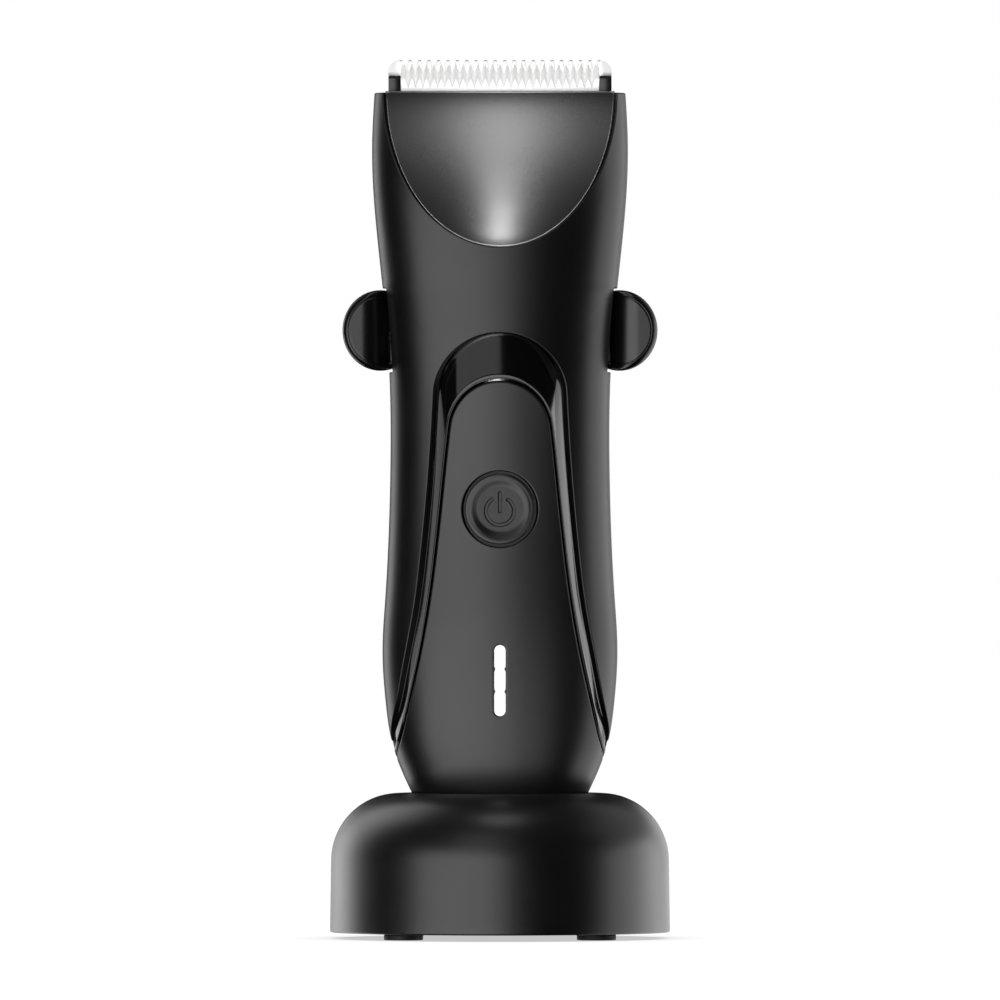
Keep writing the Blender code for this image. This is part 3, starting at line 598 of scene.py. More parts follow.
def surface(name, colours, roughness, relief, height, tone=None, gloss=None, **more):
    """A finish whose relief follows noise, given as (size, detail, stretch, roughness of the noise).

    tone and gloss are the noises of its colour and its roughness, where they aren't the relief's.
    """
    made, tree, shader = blank(name)
    relief = noise(tree, *relief)
    tone, gloss = (noise(tree, *own) if own else relief for own in (tone, gloss))
    fill(tree, shader, {"Base Color": ramp(tree, tone, *colours), "Roughness": ramp(tree, gloss, *roughness),
                        "Normal": bump(tree, relief, height), **more})
    return made


def board_of(name):
    """Green solder mask over copper tracks."""
    made, tree, shader = blank(name)
    place = node(tree, "ShaderNodeTexCoord").outputs["Object"]
    tracks = node(tree, "ShaderNodeTexBrick", {"Vector": place, "Scale": 90.0, "Mortar Size": 0.03,
                                               "Color1": (0.012, 0.075, 0.03, 1),
                                               "Color2": (0.016, 0.09, 0.036, 1),
                                               "Mortar": (0.035, 0.16, 0.06, 1)})
    tone = node(tree, "ShaderNodeMix", {"Factor": ramp(tree, noise(tree, 3.0), 0.0, 0.35),
                                        "A": tracks.outputs["Color"], "B": (0.02, 0.1, 0.05, 1)},
                data_type="RGBA")
    fill(tree, shader, {"Base Color": tone.outputs["Result"],
                        "Roughness": ramp(tree, noise(tree, 0.6), 0.25, 0.4),
                        "Normal": bump(tree, tracks.outputs["Fac"], 0.02)})
    return made


def lens_of(name):
    """A milky lens lit from behind, dimmer beside its two dividing ribs."""
    made, tree, shader = blank(name)
    place = node(tree, "ShaderNodeTexCoord").outputs["Object"]
    height = node(tree, "ShaderNodeSeparateXYZ", {"Vector": place}).outputs["Z"]
    shares = []
    for rib in LAMP_RIBS:
        away = sums(tree, "ABSOLUTE", sums(tree, "SUBTRACT", height, rib * MM))
        shares.append(ramp(tree, away, 0.62, 1.0, 0.1 * MM, 0.5 * MM))
    glow = sums(tree, "MULTIPLY", sums(tree, "MINIMUM", *shares), ramp(tree, noise(tree, 0.7), 0.97, 1.03))
    fill(tree, shader, {"Emission Strength": glow, "Emission Color": (1.0, 1.0, 1.0, 1), "Roughness": 0.25,
                        "Base Color": ramp(tree, noise(tree, 0.5), (0.75, 0.76, 0.77), (0.82, 0.83, 0.84))})
    return made


SATIN = ((0.0065, 0.0065, 0.0067), (0.0085, 0.0085, 0.0088))
MATERIALS = {
    "satin_black_plastic": moulded("satin_black", *SATIN, 0.36, spread=0.02),
    "gloss_black_plastic": moulded("gloss_black", (0.004, 0.004, 0.0042), (0.005, 0.005, 0.0052), 0.11,
                                   spread=0.015, grain=0.6, height=0.0002),
    "inner_plastic": moulded("inner_plastic", (0.018, 0.018, 0.019), (0.028, 0.028, 0.03), 0.5,
                             spread=0.06, height=0.003),
    # soft elastomer with a dusty bloom
    "black_rubber": surface("rubber", ((0.008, 0.008, 0.0085), (0.02, 0.02, 0.021)), (0.55, 0.78), (0.15,),
                            0.004, tone=(1.4, 5.0), gloss=(1.4, 5.0), **{"Sheen Weight": 0.06}),
    # dense ground zirconia with faint grinding lines
    "white_ceramic": surface("ceramic", ((0.84, 0.84, 0.83), (0.9, 0.9, 0.9)), (0.26, 0.38),
                             (0.12, 3.0, (12, 12, 1), 0.6), 0.0008, tone=(2.5, 3.0), IOR=1.6,
                             **{"Subsurface Weight": 0.15, "Subsurface Radius": (0.0006,) * 3}),
    "steel": surface("bright_steel", ((0.5, 0.5, 0.52), (0.66, 0.66, 0.67)), (0.18, 0.312),
                     (0.5, 5.0, (1, 1, 0.2), 0.65), 0.0008, Metallic=1.0),
    "gold_contact": surface("gold_plate", ((0.8, 0.55, 0.2), (0.92, 0.68, 0.32)), (0.15, 0.26),
                            (0.8, 5.0, (1, 1, 1), 0.65), 0.0008, Metallic=1.0),
    "circuit_board": board_of("circuit_board"),
    # blue heat-shrink with faint wrinkles along the cell
    "cell_sleeve": surface("cell_sleeve", ((0.02, 0.07, 0.26), (0.035, 0.11, 0.36)), (0.3, 0.42),
                           (1.6, 3.0, (1, 1, 0.15)), 0.05),
    "lamp_lens": lens_of("lamp_lens"),
}
# smoother finishes of the head's hollow front, the side discs and the blade's brackets
POLISHED = moulded("polished_satin_black", *SATIN, 0.27, spread=0.008, height=0.0004)
DISC = moulded("disc_black", (0.005, 0.005, 0.005), (0.0065, 0.0065, 0.0067), 0.3, spread=0.015, grain=0.3)
BRACKET = moulded("bracket_black", (0.005, 0.005, 0.005), (0.007, 0.007, 0.007), 0.3)


def add(piece, body, slot, *replaced, material=None):
    """Puts a piece on its body, gives it its finish and hides the CAD nodes that it stands for."""
    piece.data.materials.clear()
    piece.data.materials.append(material or MATERIALS[slot])
    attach(piece, body)
    if replaced:
        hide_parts(*replaced)


# ---------------- housing
MARGIN = SUPPORT + EDGE  # from a net's last vertices to the edge of its piece
PANEL_MARGIN = SUPPORT + PANEL_EDGE
SEAM_U = SEAM * TURN
BACK_SEAM_U = (math.pi - SEAM - SEAM_GAP) * TURN
SLOT_U = math.radians(75.86) * TURN  # where the side buttons' slots begin, front and back
BACK_SLOT_U = math.radians(75.6) * TURN
SLOT_HALF = 8.35
SLOT_TOP, SLOT_BOTTOM = KNOB_Z + SLOT_HALF, KNOB_Z - SLOT_HALF
UNDER_ROWS = np.linspace(FILLET_TOP, FILLET_TOP - UNDER_LENGTH + MARGIN, 7)[1:]
LINE_STEPS = 150  # steps along an arch line

arch = arch_line(ARCH_CENTRE, ARCH_RADIUS, ARCH_LEG, LINE_STEPS)
panel = arch_line(PANEL_CENTRE, PANEL_RADIUS, PANEL_LEG, LINE_STEPS)


def break_row(left, middle, right, counts):
    """A level row from left to right through a middle point."""
    v = left[1]
    return path(left, (middle, v), (right, v), counts=counts)


def front_shell():
    net = Net()
    seam, slot = SEAM_U - MARGIN, SLOT_U - MARGIN
    top, bottom = SLOT_TOP + MARGIN, SLOT_BOTTOM - MARGIN
    low = beside(arch, MARGIN)
    cap, leg = split_at(low, 1, bottom)
    wide, tall, side, rail = 26, 14, 9, 34

    # beside the arch's round top: from the arch out to the level over it and to the slot
    outer = path((0, top), (slot, top), (slot, bottom), counts=(wide, tall))
    net.both(between(evenly(cap, wide + tall), outer, 8))

    # down the leg: level rows from the arch line to the seam
    short = 0.7  # the rows end a little before the leg meets the seam
    leg = evenly(cut_at(leg, 0, seam - short), 90)
    share = (slot - leg[0, 0]) / (seam - leg[0, 0])
    net.both([break_row(p, p[0] + (seam - p[0]) * share, seam, (8, side)) for p in leg])

    # over the slot: from the scoop down to the level row, the seam and up the rail
    half, drop = SCOOP_HALF + MARGIN, SCOOP_DROP + MARGIN
    turn = np.linspace(0, math.acos(MARGIN / drop), 200)
    z = BODY_TOP - drop * np.cos(turn)
    rim = front_line(half * np.sin(turn), z)
    rim[-1, 1] = BODY_TOP - MARGIN
    outer = path((0, top), (slot, top), (seam, top), (seam, BODY_TOP - MARGIN), counts=(wide, side, rail))
    net.both(between(evenly(rim, wide + side + rail), outer, 9))
    return slab(net, on_body, WALL)


def rear_shell():
    net = Net()
    seam, slot = BACK_SEAM_U - MARGIN, BACK_SLOT_U - MARGIN
    top, bottom = SLOT_TOP + MARGIN, SLOT_BOTTOM - MARGIN
    wide, side, rail = 26, 8, 34
    half, drop = NOTCH_HALF + MARGIN, NOTCH_DROP + MARGIN
    turn = np.linspace(0, math.pi / 2, 400)
    z = BODY_TOP - drop * np.cos(turn) ** NOTCH_POWER
    notch = front_line(half * np.sin(turn) ** NOTCH_POWER, z)
    notch = cut_at(notch, 1, BODY_TOP - MARGIN)
    outer = path((0, top), (slot, top), (seam, top), (seam, BODY_TOP - MARGIN), counts=(wide, side, rail))
    net.both(between(evenly(notch, wide + side + rail), outer, 12))
    net.both([path((0, v), (slot, v), counts=(wide,)) for v in np.linspace(top, bottom, 14)])
    heights = np.r_[np.linspace(bottom, FILLET_TOP, 50), UNDER_ROWS]
    net.both([break_row((0, v), slot, seam, (wide, side)) for v in heights])
    return slab(net, on_back, WALL)


def front_panel():
    net = Net()
    seam = SEAM_U - PANEL_MARGIN
    line = beside(panel, -PANEL_MARGIN)
    button_row, mid_row, lamp_row = 74.0, 62.0, 41.5
    crown, rest = split_at(line, 1, button_row)
    waist, rest = split_at(rest, 1, mid_row)
    lamp_side, rest = split_at(rest, 1, lamp_row)
    columns = 26

    # round the button's hole
    hole = front_line(*arc((0, BUTTON_Z), BUTTON_HOLE + MARGIN, math.pi / 2, -math.pi / 2, 91).T)
    hole[[0, -1], 0] = 0.0
    around = np.vstack([evenly(crown, 66), path(crown[-1], (0, button_row), counts=(columns,))[1:]])
    net.both(between(around, evenly(hole, 66 + columns), 12))

    # level rows, then round the lamp's slot
    net.both([path((0, p[1]), p, counts=(columns,)) for p in evenly(waist, 12)])
    half, reach = (size + MARGIN for size in LAMP_HOLE)
    upper = arc((0, LAMP_Z + reach - half), half, math.pi / 2, 0, 20)
    slot = front_line(*np.vstack([upper, upper[::-1] * [1, -1] + [0, 2 * LAMP_Z]]).T)
    slot[[0, -1], 0] = 0.0
    side_steps = 30
    around = np.vstack([path((0, mid_row), waist[-1], counts=(columns,)), evenly(lamp_side, side_steps)[1:],
                        path(lamp_side[-1], (0, lamp_row), counts=(columns,))[1:]])
    net.both(between(around, evenly(slot, 2 * columns + side_steps), 12))

    # below the lamp, where the panel widens to the seam, and down to the underside
    wing = evenly(cut_at(rest, 0, seam), 24)
    net.both([path((0, p[1]), p, counts=(columns,)) for p in wing])
    heights = np.r_[np.linspace(wing[-1, 1], FILLET_TOP, 16), UNDER_ROWS]
    net.both([path((0, v), (seam, v), counts=(columns,)) for v in heights])

    def edge(loop):
        outside = np.abs(loop[:, 0]).max() > BUTTON_HOLE + PANEL_MARGIN
        return PANEL_EDGE if outside else EDGE
    return slab(net, on_body, WALL, edge)


# The raised rim along the inner side of the gloss band: distance from its edge, depth.
RIM_WIDTH = 0.85
RIM_PROFILE = ((0.0, 0.2), (0.05, 0.13), (0.12, 0.11), (0.56, 0.035), (0.63, 0.03), (0.7, 0.06),
               (0.77, 0.14), (RIM_WIDTH, 0.28))
BEVEL_SLOPE, BEVEL_BEND = 0.12, 0.01  # how fast the band falls away from its rim
BAND_GAP, BAND_INSET = 0.16, 0.45  # from the arch and from the panel's line


def gloss_band():
    """A bevelled band with a raised inner rim, between the arch and the panel."""
    net = Net()
    outer = beside(arch, -BAND_GAP - SUPPORT)
    inner = beside(panel, BAND_INSET + SUPPORT)
    limit = SEAM_U - MARGIN
    keep = int(np.argmax(outer[:, 0] > limit))
    rows = []
    for a, b in zip(inner[:keep], outer[:keep]):
        width = np.linalg.norm(b - a)
        row = [(*(a + (b - a) * s / width), depth) for s, depth in RIM_PROFILE]
        bevel = width - RIM_WIDTH
        fall = (BEVEL_SLOPE + BEVEL_BEND * bevel) * bevel
        for t in np.linspace(0, 1, 9)[1:]:
            at = RIM_WIDTH + bevel * t
            row.append((*(a + (b - a) * at / width), RIM_PROFILE[-1][1] + fall * t))
        rows.append(row)
    net.both(rows)
    return slab(net, on_body, 2.5, edge=0.06)


def half_disc(half, drop, top, across, down, power=2.0):
    """Rows of (x, z) that fill a half oval hanging from a level top."""
    rows = []
    for q in np.linspace(0, 1, down + 1):
        p = np.linspace(-1, 1, across + 1)
        x = p * np.sqrt(1 - q * q / 2)
        z = q * np.sqrt(1 - p * p / 2)
        reach = np.hypot(x, z)
        share = np.where(reach > 1e-6, np.abs(x) / np.maximum(reach, 1e-6), 1.0)
        grow = 1 / (share ** power + np.sqrt(1 - np.minimum(1, share ** 2)) ** power) ** (1 / power)
        rows.append(np.column_stack([x * grow * half, top - z * grow * drop]))
    return rows


def head_cover():
    """The hollow front of the cutter head."""
    net = Net()
    top = HEAD_TOP - MARGIN
    shrink = HEAD_GAP + MARGIN
    net.patch(half_disc(SCOOP_HALF - shrink, SCOOP_DROP - shrink + HEAD_TOP - BODY_TOP, top, 72, 48))
    return slab(net, lambda x, z, d: np.column_stack([x, scoop(x, z) + 0.1 + d, z]), 1.6, edge=0.3)


def head_back():
    """The cover behind the blades, flush with the rear shell."""
    net = Net()
    shrink = GAP + MARGIN
    net.patch(half_disc(NOTCH_HALF - shrink, NOTCH_DROP - shrink, BODY_TOP - MARGIN, 56, 40,
                        power=2 / NOTCH_POWER))
    return slab(net, lambda x, z, d: np.column_stack([x, rear_surface(x, z) - d, z]), 1.4)


add(mesh_object("housing_front", *front_shell()), "handle", "satin_black_plastic", "front_shell")
add(mesh_object("housing_rear", *rear_shell()), "handle", "satin_black_plastic", "rear_shell")
add(mesh_object("control_panel", *front_panel()), "handle", "satin_black_plastic", "front_panel")
add(mesh_object("bevelled_band", *gloss_band(), smooth_angle=40), "handle", "gloss_black_plastic",
    "gloss_band")
add(mesh_object("head_front", *head_cover()), "head", "satin_black_plastic", "head_cover",
    material=POLISHED)
add(mesh_object("head_rear", *head_back()), "head", "satin_black_plastic", "head_back")


# ---------------- power button
RIM_OUT, RIM_IN, FLOOR = 7.02, 6.15, 4.45  # radii of the button's rim and of its flat floor
# the stem and the flange that keeps the button in, as (radius, height)
FLANGE_PROFILE = ((1.5, 9.9), (1.5, 10.9), (8.4, 10.9), (8.4, 11.3), (RIM_OUT, 11.3))
RIM_SIDE, RIM_ROUND = 13.95, 0.28  # where the rim's side ends, and its rounding
ICON_Z = 85.4
ICON_RADIUS, ICON_LINE = 2.8, 0.62  # the power symbol's ring and the width of its lines
ICON_OPEN = math.radians(35)
ICON_BAR = 3.9  # the bar's top, above the ring's centre
ICON_DEPTH, ICON_WALL = 0.24, 0.14  # how deep it's cut, and how wide its sloping walls are
RIM_HEIGHT, DISH_DEPTH = 14.25, 0.45  # how far forward the rim stands, and the dish under it


def icon(x, z):
    """How deep the power symbol is cut at points on the button's floor."""
    u, v = x, z - ICON_Z
    turn = np.abs(np.arctan2(u, v))
    ring = np.abs(np.hypot(u, v) - ICON_RADIUS)
    end_u, end_v = ICON_RADIUS * math.sin(ICON_OPEN), ICON_RADIUS * math.cos(ICON_OPEN)
    ring = np.where(turn > ICON_OPEN, ring, np.hypot(np.abs(u) - end_u, v - end_v))
    bar = np.hypot(u, v - np.clip(v, 0.0, ICON_BAR - ICON_LINE / 2))
    near = np.minimum(ring, bar) - ICON_LINE / 2
    share = np.clip(0.5 - near / ICON_WALL, 0, 1)
    return ICON_DEPTH * share * share * (3 - 2 * share)


def power_button():
    """A dished cap whose rim follows the housing, with a power symbol cut in its floor."""
    turns = circle_turns(192)
    middle = skin(np.array([0.0]), np.array([BUTTON_Z]))[0, 1]
    lip = RIM_HEIGHT - 0.03
    profile = [*arc((RIM_OUT - RIM_ROUND, RIM_SIDE), RIM_ROUND, 0, math.pi / 2, 5)]
    profile.append((RIM_IN + 0.1, RIM_HEIGHT))
    for t in np.linspace(0, 1, 13):
        profile.append((RIM_IN - (RIM_IN - FLOOR) * t, lip - DISH_DEPTH * t * t * (3 - 2 * t)))
    profile += [(r, lip - DISH_DEPTH) for r in np.linspace(FLOOR, 0.1, 56)[1:]]
    rings = turned_rings(FLANGE_PROFILE, (0, 0, BUTTON_Z), "-Y", len(turns))
    for r, h in profile:
        x, z = r * np.cos(turns), BUTTON_Z + r * np.sin(turns)
        follow = np.clip((r - FLOOR) / (RIM_IN - FLOOR), 0, 1)
        drop = skin(angle_at(x, z), z)[..., 1] - middle
        rings.append(np.column_stack([x, -h + drop * follow + icon(x, z), z]))
    return rings_mesh(rings)


add(mesh_object("power_cap", *power_button(), smooth_angle=50), "power_button", "satin_black_plastic",
    "power_button")


# ---------------- lamp
# The lens's crown: distance in from the edge, depth under the skin.
CROWN = ((0.0, 4.6), (0.0, 0.5), (0.03, 0.36), (0.1, 0.27), (0.22, 0.2), (0.45, 0.15), (0.8, 0.12))
PINCH, PINCH_REACH = 0.16, 0.35  # how far the lens narrows at a rib, and over what height


def lamp():
    """A crowned lens in three lit parts, pinched a little at its two ribs."""
    rings = []
    straight = LAMP_REACH - LAMP_HALF
    upper = arc((0, straight), LAMP_HALF, math.pi, 0, 25)
    side = path((LAMP_HALF, straight), (LAMP_HALF, -straight), counts=(89,))[1:-1]
    outline = np.vstack([upper, side, -upper, -side])
    pinch = sum(PINCH * np.exp(-((outline[:, 1] + LAMP_Z - rib) / PINCH_REACH) ** 2) for rib in LAMP_RIBS)
    outline[:, 0] *= 1 - pinch
    for inset, depth in CROWN:
        x, z = (outline * [1 - inset / LAMP_HALF, 1 - inset / LAMP_REACH] + [0, LAMP_Z]).T
        rings.append(np.column_stack([x, skin(angle_at(x, z), z)[:, 1] + depth, z]))
    return rings_mesh(rings)


add(mesh_object("lamp_lens", *lamp(), smooth_angle=50), "handle", "lamp_lens", "light_pipe")


# ---------------- side release buttons
KNOB_X, KNOB_HALF, KNOB_TALL, KNOB_DEEP = 23.9, 7.6, 8.05, 3.5
KNOB_INSIDE = 18.6  # the disc is cut off here, inside the housing
CUP_RADIUS, CUP_DEPTH = 2.25, 18.4  # the stem's cup for the return spring
# The disc's section: radius, distance behind its face.
KNOB_FACE = [(r, 0.0) for r in (0.1, *np.arange(0.4, 6.5, 0.4), 6.55)]
KNOB_RIM = [(6.62, 0.02), (6.7, 0.1), (6.78, 0.12), (6.86, 0.1), (6.95, 0.03), (7.05, 0.05), (7.35, 0.24),
            (7.6, 0.45), (7.76, 0.66), (7.9, 0.95), (8.0, 1.3), (KNOB_TALL, 1.75)]
ROLL_START, ROLL_RATE, ROLL_LIMIT = 3.8, 0.1, 3.1  # how the face curves in near the body


def release_disc(side):
    """A round finger button: a flat face that rolls inwards near the body, and a bevelled rim."""
    turns = circle_turns(160)
    rings = []
    for front in (1, -1):
        for r, back in (KNOB_FACE + KNOB_RIM)[::front]:
            x, z = r * KNOB_HALF / KNOB_TALL * np.cos(turns), r * np.sin(turns)
            inner = np.clip(ROLL_START - x * side, 0, None) * (front > 0)
            roll = np.minimum(ROLL_RATE * inner ** 2, ROLL_LIMIT) * np.clip(KNOB_TALL - r, 0, 1)
            y = -front * (KNOB_DEEP - back - roll)
            rings.append(np.column_stack([KNOB_X * side + x, y, KNOB_Z + z]))
    return rings_mesh(rings)


def side_box(name, side, inner, outer, low, high, radius, steps=3):
    """A rounded block between two distances from the middle; low and high are (y, z)."""
    near, far = sorted((side * inner, side * outer))
    return boxed(name, (near, *low), (far, *high), radius, steps)


for side, word in ((-1, "left"), (1, "right")):
    disc = mesh_object(f"disc_{word}", *release_disc(side))
    trim = side_box(f"trim_{word}", side, 0, KNOB_INSIDE, (-9, 100), (9, 150), 0.01, 1)
    disc = joined(f"cut_{word}", disc, trim, operation="DIFFERENCE")
    arm = side_box(f"arm_{word}", side, 16.6, 18.9, (-2.2, 117.0), (2.2, 146.0), 0.35)
    hook = side_box(f"hook_{word}", side, 18.0, 20.1, (-2.1, 143.5), (2.1, 145.4), 0.3)
    stem = side_box(f"stem_{word}", side, 17.5, 21.0, (-2.6, 116.5), (2.6, 126.5), 0.6)
    knob = joined(f"knob_{word}", disc, stem, arm, hook)
    ring = [(CUP_RADIUS * math.cos(t), KNOB_Z + CUP_RADIUS * math.sin(t)) for t in circle_turns(40)]
    cup = prism(f"cup_{word}", ring, *sorted((side * 16.0, side * CUP_DEPTH)))
    knob = joined(f"release_{word}_disc", knob, cup, operation="DIFFERENCE")
    add(knob, f"release_{word}", "gloss_black_plastic", f"release_button_{word}", material=DISC)


# ---------------- blades
COMB_HALF, COMB_TOP, COMB_TEETH, COMB_PITCH = 22.3, 175.6, 22, 1.893
CUTTER_HALF, CUTTER_TOP, CUTTER_TEETH, CUTTER_PITCH = 19.75, 174.8, 27, 1.468
SCREW_X, SCREW_Z = 14.0, 163.5
TIP_REACH = 20.2  # half the width over which the comb's tips slant
COMB_BASE, COMB_FRONT, COMB_THICK = 159.9, 0.28, 1.0
# A gap between teeth, from its mouth to its root: half-width, height.
COMB_FLANK = ((0.72, COMB_TOP), (0.62, 175.45), (0.52, 175.0), (0.43, 174.3), (0.36, 173.3),
              (0.32, 172.2), (0.3, 171.0), (0.26, 170.82), (0.15, 170.7), (0.0, 170.66))


def comb():
    """The fixed comb: tapered, round-tipped teeth with bevelled edges."""
    corner, level = 2.5, COMB_TOP - 2.5
    points = [(-COMB_HALF, COMB_BASE)]
    points += [*arc((-COMB_HALF + corner, level), corner, math.pi, math.pi / 2, 14)]
    for i in range(COMB_TEETH - 1):
        x = COMB_PITCH * (i - (COMB_TEETH - 2) / 2)
        points += [(x - half, z) for half, z in COMB_FLANK]
        points += [(x + half, z) for half, z in reversed(COMB_FLANK[:-1])]
    points += [*arc((COMB_HALF - corner, level), corner, math.pi / 2, 0, 14), (COMB_HALF, COMB_BASE)]
    work = bmesh.new()
    work.faces.new([work.verts.new((x * MM, COMB_FRONT * MM, z * MM)) for x, z in points])
    made = bmesh.ops.extrude_face_region(work, geom=work.faces[:])
    moved = [v for v in made["geom"] if isinstance(v, bmesh.types.BMVert)]
    bmesh.ops.translate(work, verts=moved, vec=(0, COMB_THICK * MM, 0))
    bmesh.ops.recalc_face_normals(work, faces=work.faces)
    rims = [e for e in work.edges if abs((e.verts[0].co - e.verts[1].co).y) < 1e-6]
    bmesh.ops.bevel(work, geom=rims, offset=0.09 * MM, segments=2, profile=0.5, affect="EDGES",
                    clamp_overlap=True)
    return from_bmesh("comb", work, 30)


def cutter():
    """The moving cutter: a plate whose teeth lie between V-shaped grooves.

    Each groove starts in the front face, widens until it meets its neighbours and then
    breaks through, so a tooth ends in a ridge that runs out to a point at its back.
    """
    front, back = -0.9, -0.02
    start, meet, through, end, base = 169.9, 171.8, 172.9, 174.1, 160.5
    # round the plate: x, the height of its front edge and of its back edge
    outline = [(-CUTTER_HALF, meet, end)]
    for i in range(CUTTER_TEETH):
        x = CUTTER_PITCH * (i - (CUTTER_TEETH - 1) / 2)
        outline += [(x, meet, CUTTER_TOP), (x + CUTTER_PITCH / 2, start, through)]
    outline[-1] = (CUTTER_HALF, meet, end)
    outline += [(CUTTER_HALF, base, base), (-CUTTER_HALF, base, base)]
    count = len(outline)
    points = [(x, front, z) for x, z, _ in outline] + [(x, back, z) for x, _, z in outline]
    sides = [[i, (i + 1) % count, (i + 1) % count + count, i + count] for i in range(count)]
    return points, [list(range(count)), list(range(count, 2 * count)), *sides]


comb_holes = [lathe(f"comb_hole_{i}", [(1.4, -1.0), (1.4, 3.0)], (x, 0, SCREW_Z), axis="Y", steps=40)
              for i, x in enumerate((-SCREW_X, SCREW_X))]
# the tips slant back, so that they slide over skin
TIP_CUT = ((0.2, COMB_TOP - 0.3), (0.2, COMB_TOP + 0.5), (1.1, COMB_TOP + 0.5), (0.78, COMB_TOP - 0.02))
tips = prism("tips", TIP_CUT, -TIP_REACH, TIP_REACH)
add(joined("comb_plate", comb(), tips, *comb_holes, operation="DIFFERENCE", smooth_angle=30), "head",
    "white_ceramic", "fixed_comb")
slots = [boxed(f"cutter_slot_{i}", (x - 2.2, -1.5, 162.0), (x + 2.2, 0.2, 165.0), 0.6)
         for i, x in enumerate((-SCREW_X, SCREW_X))]
plate = mesh_object("blank", *cutter(), smooth_angle=12)
add(joined("cutter_plate", plate, *slots, operation="DIFFERENCE", smooth_angle=12), "cutter",
    "white_ceramic", "moving_cutter")
# the brackets' tops slant forward
BRACKET_CUT = ((-2.7, 171.75), (-2.7, 173.0), (-1.9, 173.0), (-1.9, 172.55))
slant = prism("slant", BRACKET_CUT, -25.0, 25.0)
brackets = joined("head_frame_fine", eased("head_frame", 0.2, "frame_blank"), slant, operation="DIFFERENCE")
add(brackets, "head", "inner_plastic", "head_frame", material=BRACKET)


# ---------------- dock
DOCK_TOP, DOCK_RADIUS, DOCK_FILLET, DOCK_WALL = 29.0, 33.8, 13.5, 2.2
DOCK_RIM, DOCK_FLARE, RIM_EDGE = 1.2, 0.2, 0.35  # the rim's height, its flare and its rounding
WELL_CLEAR, WELL_LIP = 0.6, 0.7  # clearance round the groomer, the well's rounding
USB_Z, PORT_HALF, PORT_TALL = 10.1, 4.95, 2.05  # the charging opening


def well_ring(z, clear, steps):
    """A ring in the dock's well, at a clearance round the groomer."""
    ring = skin(circle_turns(steps), np.full(steps, float(z)))
    ring[:, 0] *= 1 + clear / half_width(z)
    ring[:, 1] *= 1 + clear / front_depth(z)
    return ring


def dock_shell():
    """The dome with its well, as one wall turned round the dock's axis."""
    steps = 240
    fillet, rise = DOCK_RADIUS - DOCK_FILLET, DOCK_TOP - DOCK_FILLET
    lip = DOCK_TOP - WELL_LIP
    rings = [well_ring(z, WELL_CLEAR, steps) for z in (DOCK_TOP - DOCK_WALL, DOCK_TOP - 1.5, lip)]
    for t in np.linspace(0, math.pi / 2, 6)[1:]:
        rings.append(well_ring(lip, WELL_CLEAR + WELL_LIP * (1 - math.cos(t)), steps))
        rings[-1][:, 2] = lip + WELL_LIP * math.sin(t)
    inner = rings[-1]
    turn = np.arctan2(inner[:, 0], -inner[:, 1])

    def circle(radius, z):
        return np.column_stack([radius * np.sin(turn), -radius * np.cos(turn), np.full(steps, float(z))])
    rings += between(inner, circle(fillet, DOCK_TOP), 6)[1:]
    outside = DOCK_RADIUS + DOCK_FLARE
    profile = [*arc((fillet, rise), DOCK_FILLET, math.pi / 2, 0, 33)[1:]]
    for z in np.linspace(rise, DOCK_RIM + RIM_EDGE, 9)[1:]:
        profile.append((DOCK_RADIUS + DOCK_FLARE * (rise - z) / (rise - DOCK_RIM), z))
    profile += [*arc((outside - RIM_EDGE, DOCK_RIM + RIM_EDGE), RIM_EDGE, 0, -math.pi / 2, 5)[1:],
                (outside - DOCK_WALL, DOCK_RIM), (DOCK_RADIUS - DOCK_WALL, rise),
                *arc((fillet, rise), DOCK_FILLET - DOCK_WALL, 0, math.pi / 2, 13)[1:]]
    return rings_mesh(rings + [circle(*p) for p in profile], closed=True)


def port_cutter():
    """The charging opening, with a chamfer that widens outwards."""
    rings = []
    turns = circle_turns(48)
    c, s = np.cos(turns), np.sin(turns)
    for y, grow in ((28.0, 0.0), (33.1, 0.0), (34.2, 1.0), (36.0, 2.6)):
        x = (PORT_HALF + grow) * np.sign(c) * np.abs(c) ** 0.42
        z = (PORT_TALL + grow) * np.sign(s) * np.abs(s) ** 0.62
        rings.append(np.column_stack([x, np.full(len(turns), y), USB_Z + z]))
    return rings_mesh(rings)


POST_RADIUS, POST_HOLE, POST_TURN = 2.8, 1.3, 27.2
POSTS = [(POST_TURN * math.sin(t), -POST_TURN * math.cos(t)) for t in (0, math.tau / 4, -math.tau / 4)]
posts = [lathe(f"post_{i}", [(POST_RADIUS, 4.6), (POST_RADIUS, 23.7)], (x, y, 0), steps=40)
         for i, (x, y) in enumerate(POSTS)]
bores = [lathe(f"bore_{i}", [(POST_HOLE, 0.0), (POST_HOLE, 16.0)], (x, y, 0), steps=32)
         for i, (x, y) in enumerate(POSTS)]
dome = joined("dome_with_posts", mesh_object("dome", *dock_shell()), *posts)
dome = joined("dock_dome", dome, *bores, mesh_object("port", *port_cutter()), operation="DIFFERENCE")
add(dome, "dock", "satin_black_plastic", "dock_shell")

FOOT_PROFILE = [(0.0, 0.25), (2.6, 0.25), (2.9, 0.0), (3.9, 0.0), (3.9, 1.1), (0.0, 1.1)]
for number in range(1, 5):
    x, y, _ = np.mean(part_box(f"foot_{number}"), axis=0) / MM
    add(lathe(f"rubber_foot_{number}", soften(FOOT_PROFILE, 0.22), (x, y, 0)), "dock", "black_rubber",
        f"foot_{number}")


# ---------------- small parts
SLOT_OF = {row["node"]: row["material_slot"] for row in frame["record"]["subparts"]}
BODY_OF = {name: body for body, names in frame["record"]["behaviour"]["bodies"].items() for name in names}

